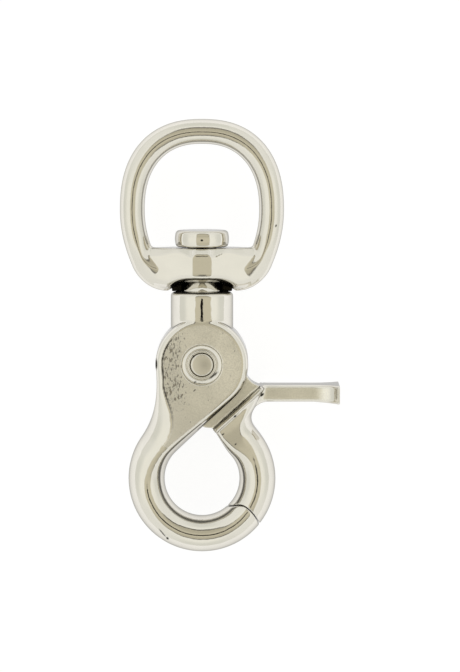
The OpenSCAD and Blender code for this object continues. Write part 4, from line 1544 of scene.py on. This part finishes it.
@dataclass
class Studio:
    """Pale table, a light tent that is open round the lens, and the camera that looks down.

    A light of the tent that starts and ends has two spans over which it does so. They are in shares of the
    opening's reach, where 1 is its edge, or in degrees off its middle.

    Attributes:
        lens_tilt: How far the camera stands off the vertical, towards X and towards Y.
        wall: Light of the tent's walls near the table.
        slope: Light of the tent higher up, beside the opening, down to wall_low.
        roof: Light that comes back through the opening overhead, darker beyond roof_steep along the hook.
        lamps: Light of the soft lamps at the tent's four corners.
        rim: Light of the cloth right beside the opening.
        gap: Light in the dark gaps just inside the opening's two ends.
        opening_wide: How far that opening reaches to the left and to the right.
        opening_long: How far it reaches down and up along the hook.
        lens: Where the dark lens ends.
        glow: Light that the table gives off.
        distance: Distance from the camera to the hook, in metres.
        aim: The place in the middle of the picture.
        width: Width of the view at the aim.
    """

    lens_tilt: Flat = (0.0, 4.5)
    wall: Point = (0.79, 0.795, 0.745)
    slope: Point = (0.975, 0.97, 0.905)
    roof: Point = (0.66, 0.62, 0.49)
    lamps: Point = (0.9, 0.9, 0.86)
    rim: Point = (0.98, 0.98, 0.93)
    gap: Point = (0.06, 0.055, 0.045)
    opening_wide: Flat = (24.0, 34.0)
    opening_long: Flat = (40.0, 50.0)
    opening_edge: Flat = (0.95, 1.07)
    rim_spans: tuple[Flat, Flat] = ((1.0, 1.1), (1.1, 1.3))
    gap_spans: tuple[Flat, Flat] = ((0.84, 0.92), (1.0, 1.06))
    gap_steep: Flat = (18.0, 30.0)
    roof_steep: Flat = (8.0, 26.0)
    wall_low: Flat = (50.0, 74.0)
    lamp_corner: Flat = (0.25, 1.0)
    lamp_spans: tuple[Flat, Flat] = ((26.0, 58.0), (78.0, 98.0))
    lens: Flat = (4.8, 6.2)
    glow: float = 0.88
    distance: float = 0.62
    aim: Point = (4.667, 4.417, 5.3)
    width: float = 76.667

    def direction(self) -> Vector:
        """Direction from the hook to the camera."""
        return Vector((*(math.tan(math.radians(tilt)) for tilt in self.lens_tilt), 1)).normalized()

    def table(self) -> None:
        """The pale table top, which gives off some light."""
        bm = bmesh.new()
        bmesh.ops.create_grid(bm, x_segments=1, y_segments=1, size=1.5)
        obj = to_object("table_top", bm)
        material = bpy.data.materials.new("pale_table")
        inputs = Nodes(material).tree.nodes["Principled BSDF"].inputs
        inputs["Base Color"].default_value = (0.2, 0.2, 0.2, 1)
        inputs["Roughness"].default_value = 0.9
        inputs["Specular IOR Level"].default_value = 0.0
        inputs["Emission Color"].default_value = (1, 1, 1, 1)
        inputs["Emission Strength"].default_value = self.glow
        obj.data.materials.append(material)

    def tent(self) -> None:
        """The light tent: even walls, and overhead a greyer, warmer opening that is longer along the hook."""
        world = bpy.data.worlds.new("light_tent")
        bpy.context.scene.world = world
        nodes = Nodes(world)
        where = nodes.out(nodes.add("ShaderNodeTexCoord"), "Generated")
        lens = self.direction()
        up = Vector((-lens[0], -lens[1], lens[2]))
        across = Vector((0, 1, 0)).cross(up).normalized()
        parts = []
        for axis in (up, across, up.cross(across)):
            dot = nodes.add("ShaderNodeVectorMath", operation="DOT_PRODUCT")
            nodes.plug(where, dot.inputs[0])
            dot.inputs[1].default_value = axis
            parts.append(nodes.out(dot, "Value"))
        high, x, y = parts
        corner = abs(x * y) * 2.0 / (x**2.0 + y**2.0)
        off = nodes.math("ARCCOSINE", high) * math.degrees(1)
        across, along = (nodes.math("ARCTAN2", part, high) * math.degrees(1) for part in (x, y))
        reaches = [
            nodes.math("MAXIMUM", value / -sizes[0], value / sizes[1]) ** 3.0
            for value, sizes in ((across, self.opening_wide), (along, self.opening_long))
        ]
        spot = (reaches[0] + reaches[1]) ** (1 / 3)
        steep = abs(along)
        lamps = nodes.step(corner, self.lamp_corner) * nodes.between(off, *self.lamp_spans)
        roof = nodes.tint(nodes.step(steep, self.roof_steep), self.roof, shaded(self.roof, 0.8))
        gaps = nodes.between(spot, *self.gap_spans) * nodes.step(steep, self.gap_steep)
        light = nodes.tint(nodes.step(off, self.wall_low), self.slope, self.wall)
        light = nodes.tint(lamps, light, self.lamps)
        light = nodes.tint(nodes.between(spot, *self.rim_spans), light, self.rim)
        light = nodes.tint(1 - nodes.step(spot, self.opening_edge), light, roof)
        light = nodes.tint(gaps * 0.9, light, self.gap)
        light = nodes.tint(1 - nodes.step(off, self.lens), light, (0.0, 0.0, 0.0))
        nodes.plug(light, nodes.tree.nodes["Background"].inputs["Color"])

    def camera(self) -> None:
        """The camera, held so that Y is up in the picture."""
        data = bpy.data.cameras.new("camera")
        camera = bpy.data.objects.new("camera", data)
        bpy.context.scene.collection.objects.link(camera)
        back = self.direction()
        camera.location = Vector(self.aim) * MM + back * self.distance
        right = Vector((0, 1, 0)).cross(back).normalized()
        camera.rotation_euler = Matrix((right, back.cross(right), back)).transposed().to_euler()
        data.sensor_fit = "AUTO"
        data.sensor_width = 36
        data.lens = data.sensor_width * self.distance / (self.width * MM * PICTURE[1] / PICTURE[0])
        data.clip_start, data.clip_end = 0.01, 10
        bpy.context.scene.camera = camera

    def build(self) -> None:
        """Sets the whole studio up."""
        self.table()
        self.tent()
        self.camera()
        bpy.context.scene.view_settings.view_transform = "Standard"


def main() -> None:
    """Builds the studio and every piece of the hook."""
    logging.basicConfig(level=logging.INFO, format="%(name)s: %(message)s")
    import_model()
    form = HookForm()
    cast = NickelPlate(
        "nickel_cast_body", waves=0.045, masked=True, pitted=True, crisp_above=form.head_r + 0.4, sooty=True
    )
    # The gate's satin colour is lighter than the body's: painted light that makes up for the shade on the tongue,
    # recessed between the cheeks.
    gate = NickelPlate("nickel_cast_gate", matt=(0.97, 0.945, 0.85), waves=0.045, masked=True, sooty=True)
    eye = NickelPlate("nickel_cast_eye", gloss=0.13, waves=0.04, sooty=True)
    turned_plate = NickelPlate("nickel_turned", gloss=0.06, waves=0.004, painted_hollow_shade=False)
    seat = NickelPlate("nickel_seat", gloss=0.16, waves=0.01, sooty=True, painted_hollow_shade=False)
    pin = NickelPlate("nickel_pin", gloss=0.28, waves=0.01, painted_hollow_shade=False)
    strap_eye = SwivelEye(form, eye)
    assemblies: tuple[Assembly, ...] = (
        strap_eye,
        SwivelStud(form, turned_plate, strap_eye),
        HookBody(form, cast),
        RivetSeat(form, seat),
        PivotRivet(form, pin),
        GateLever(form, gate),
        GateSpring(form, SpringWire()),
    )
    for assembly in assemblies:
        for obj in assembly.build():
            LOG.info("%s: %d faces", obj.name, len(obj.data.polygons))
    Studio().build()


if __name__ == "__main__":
    main()
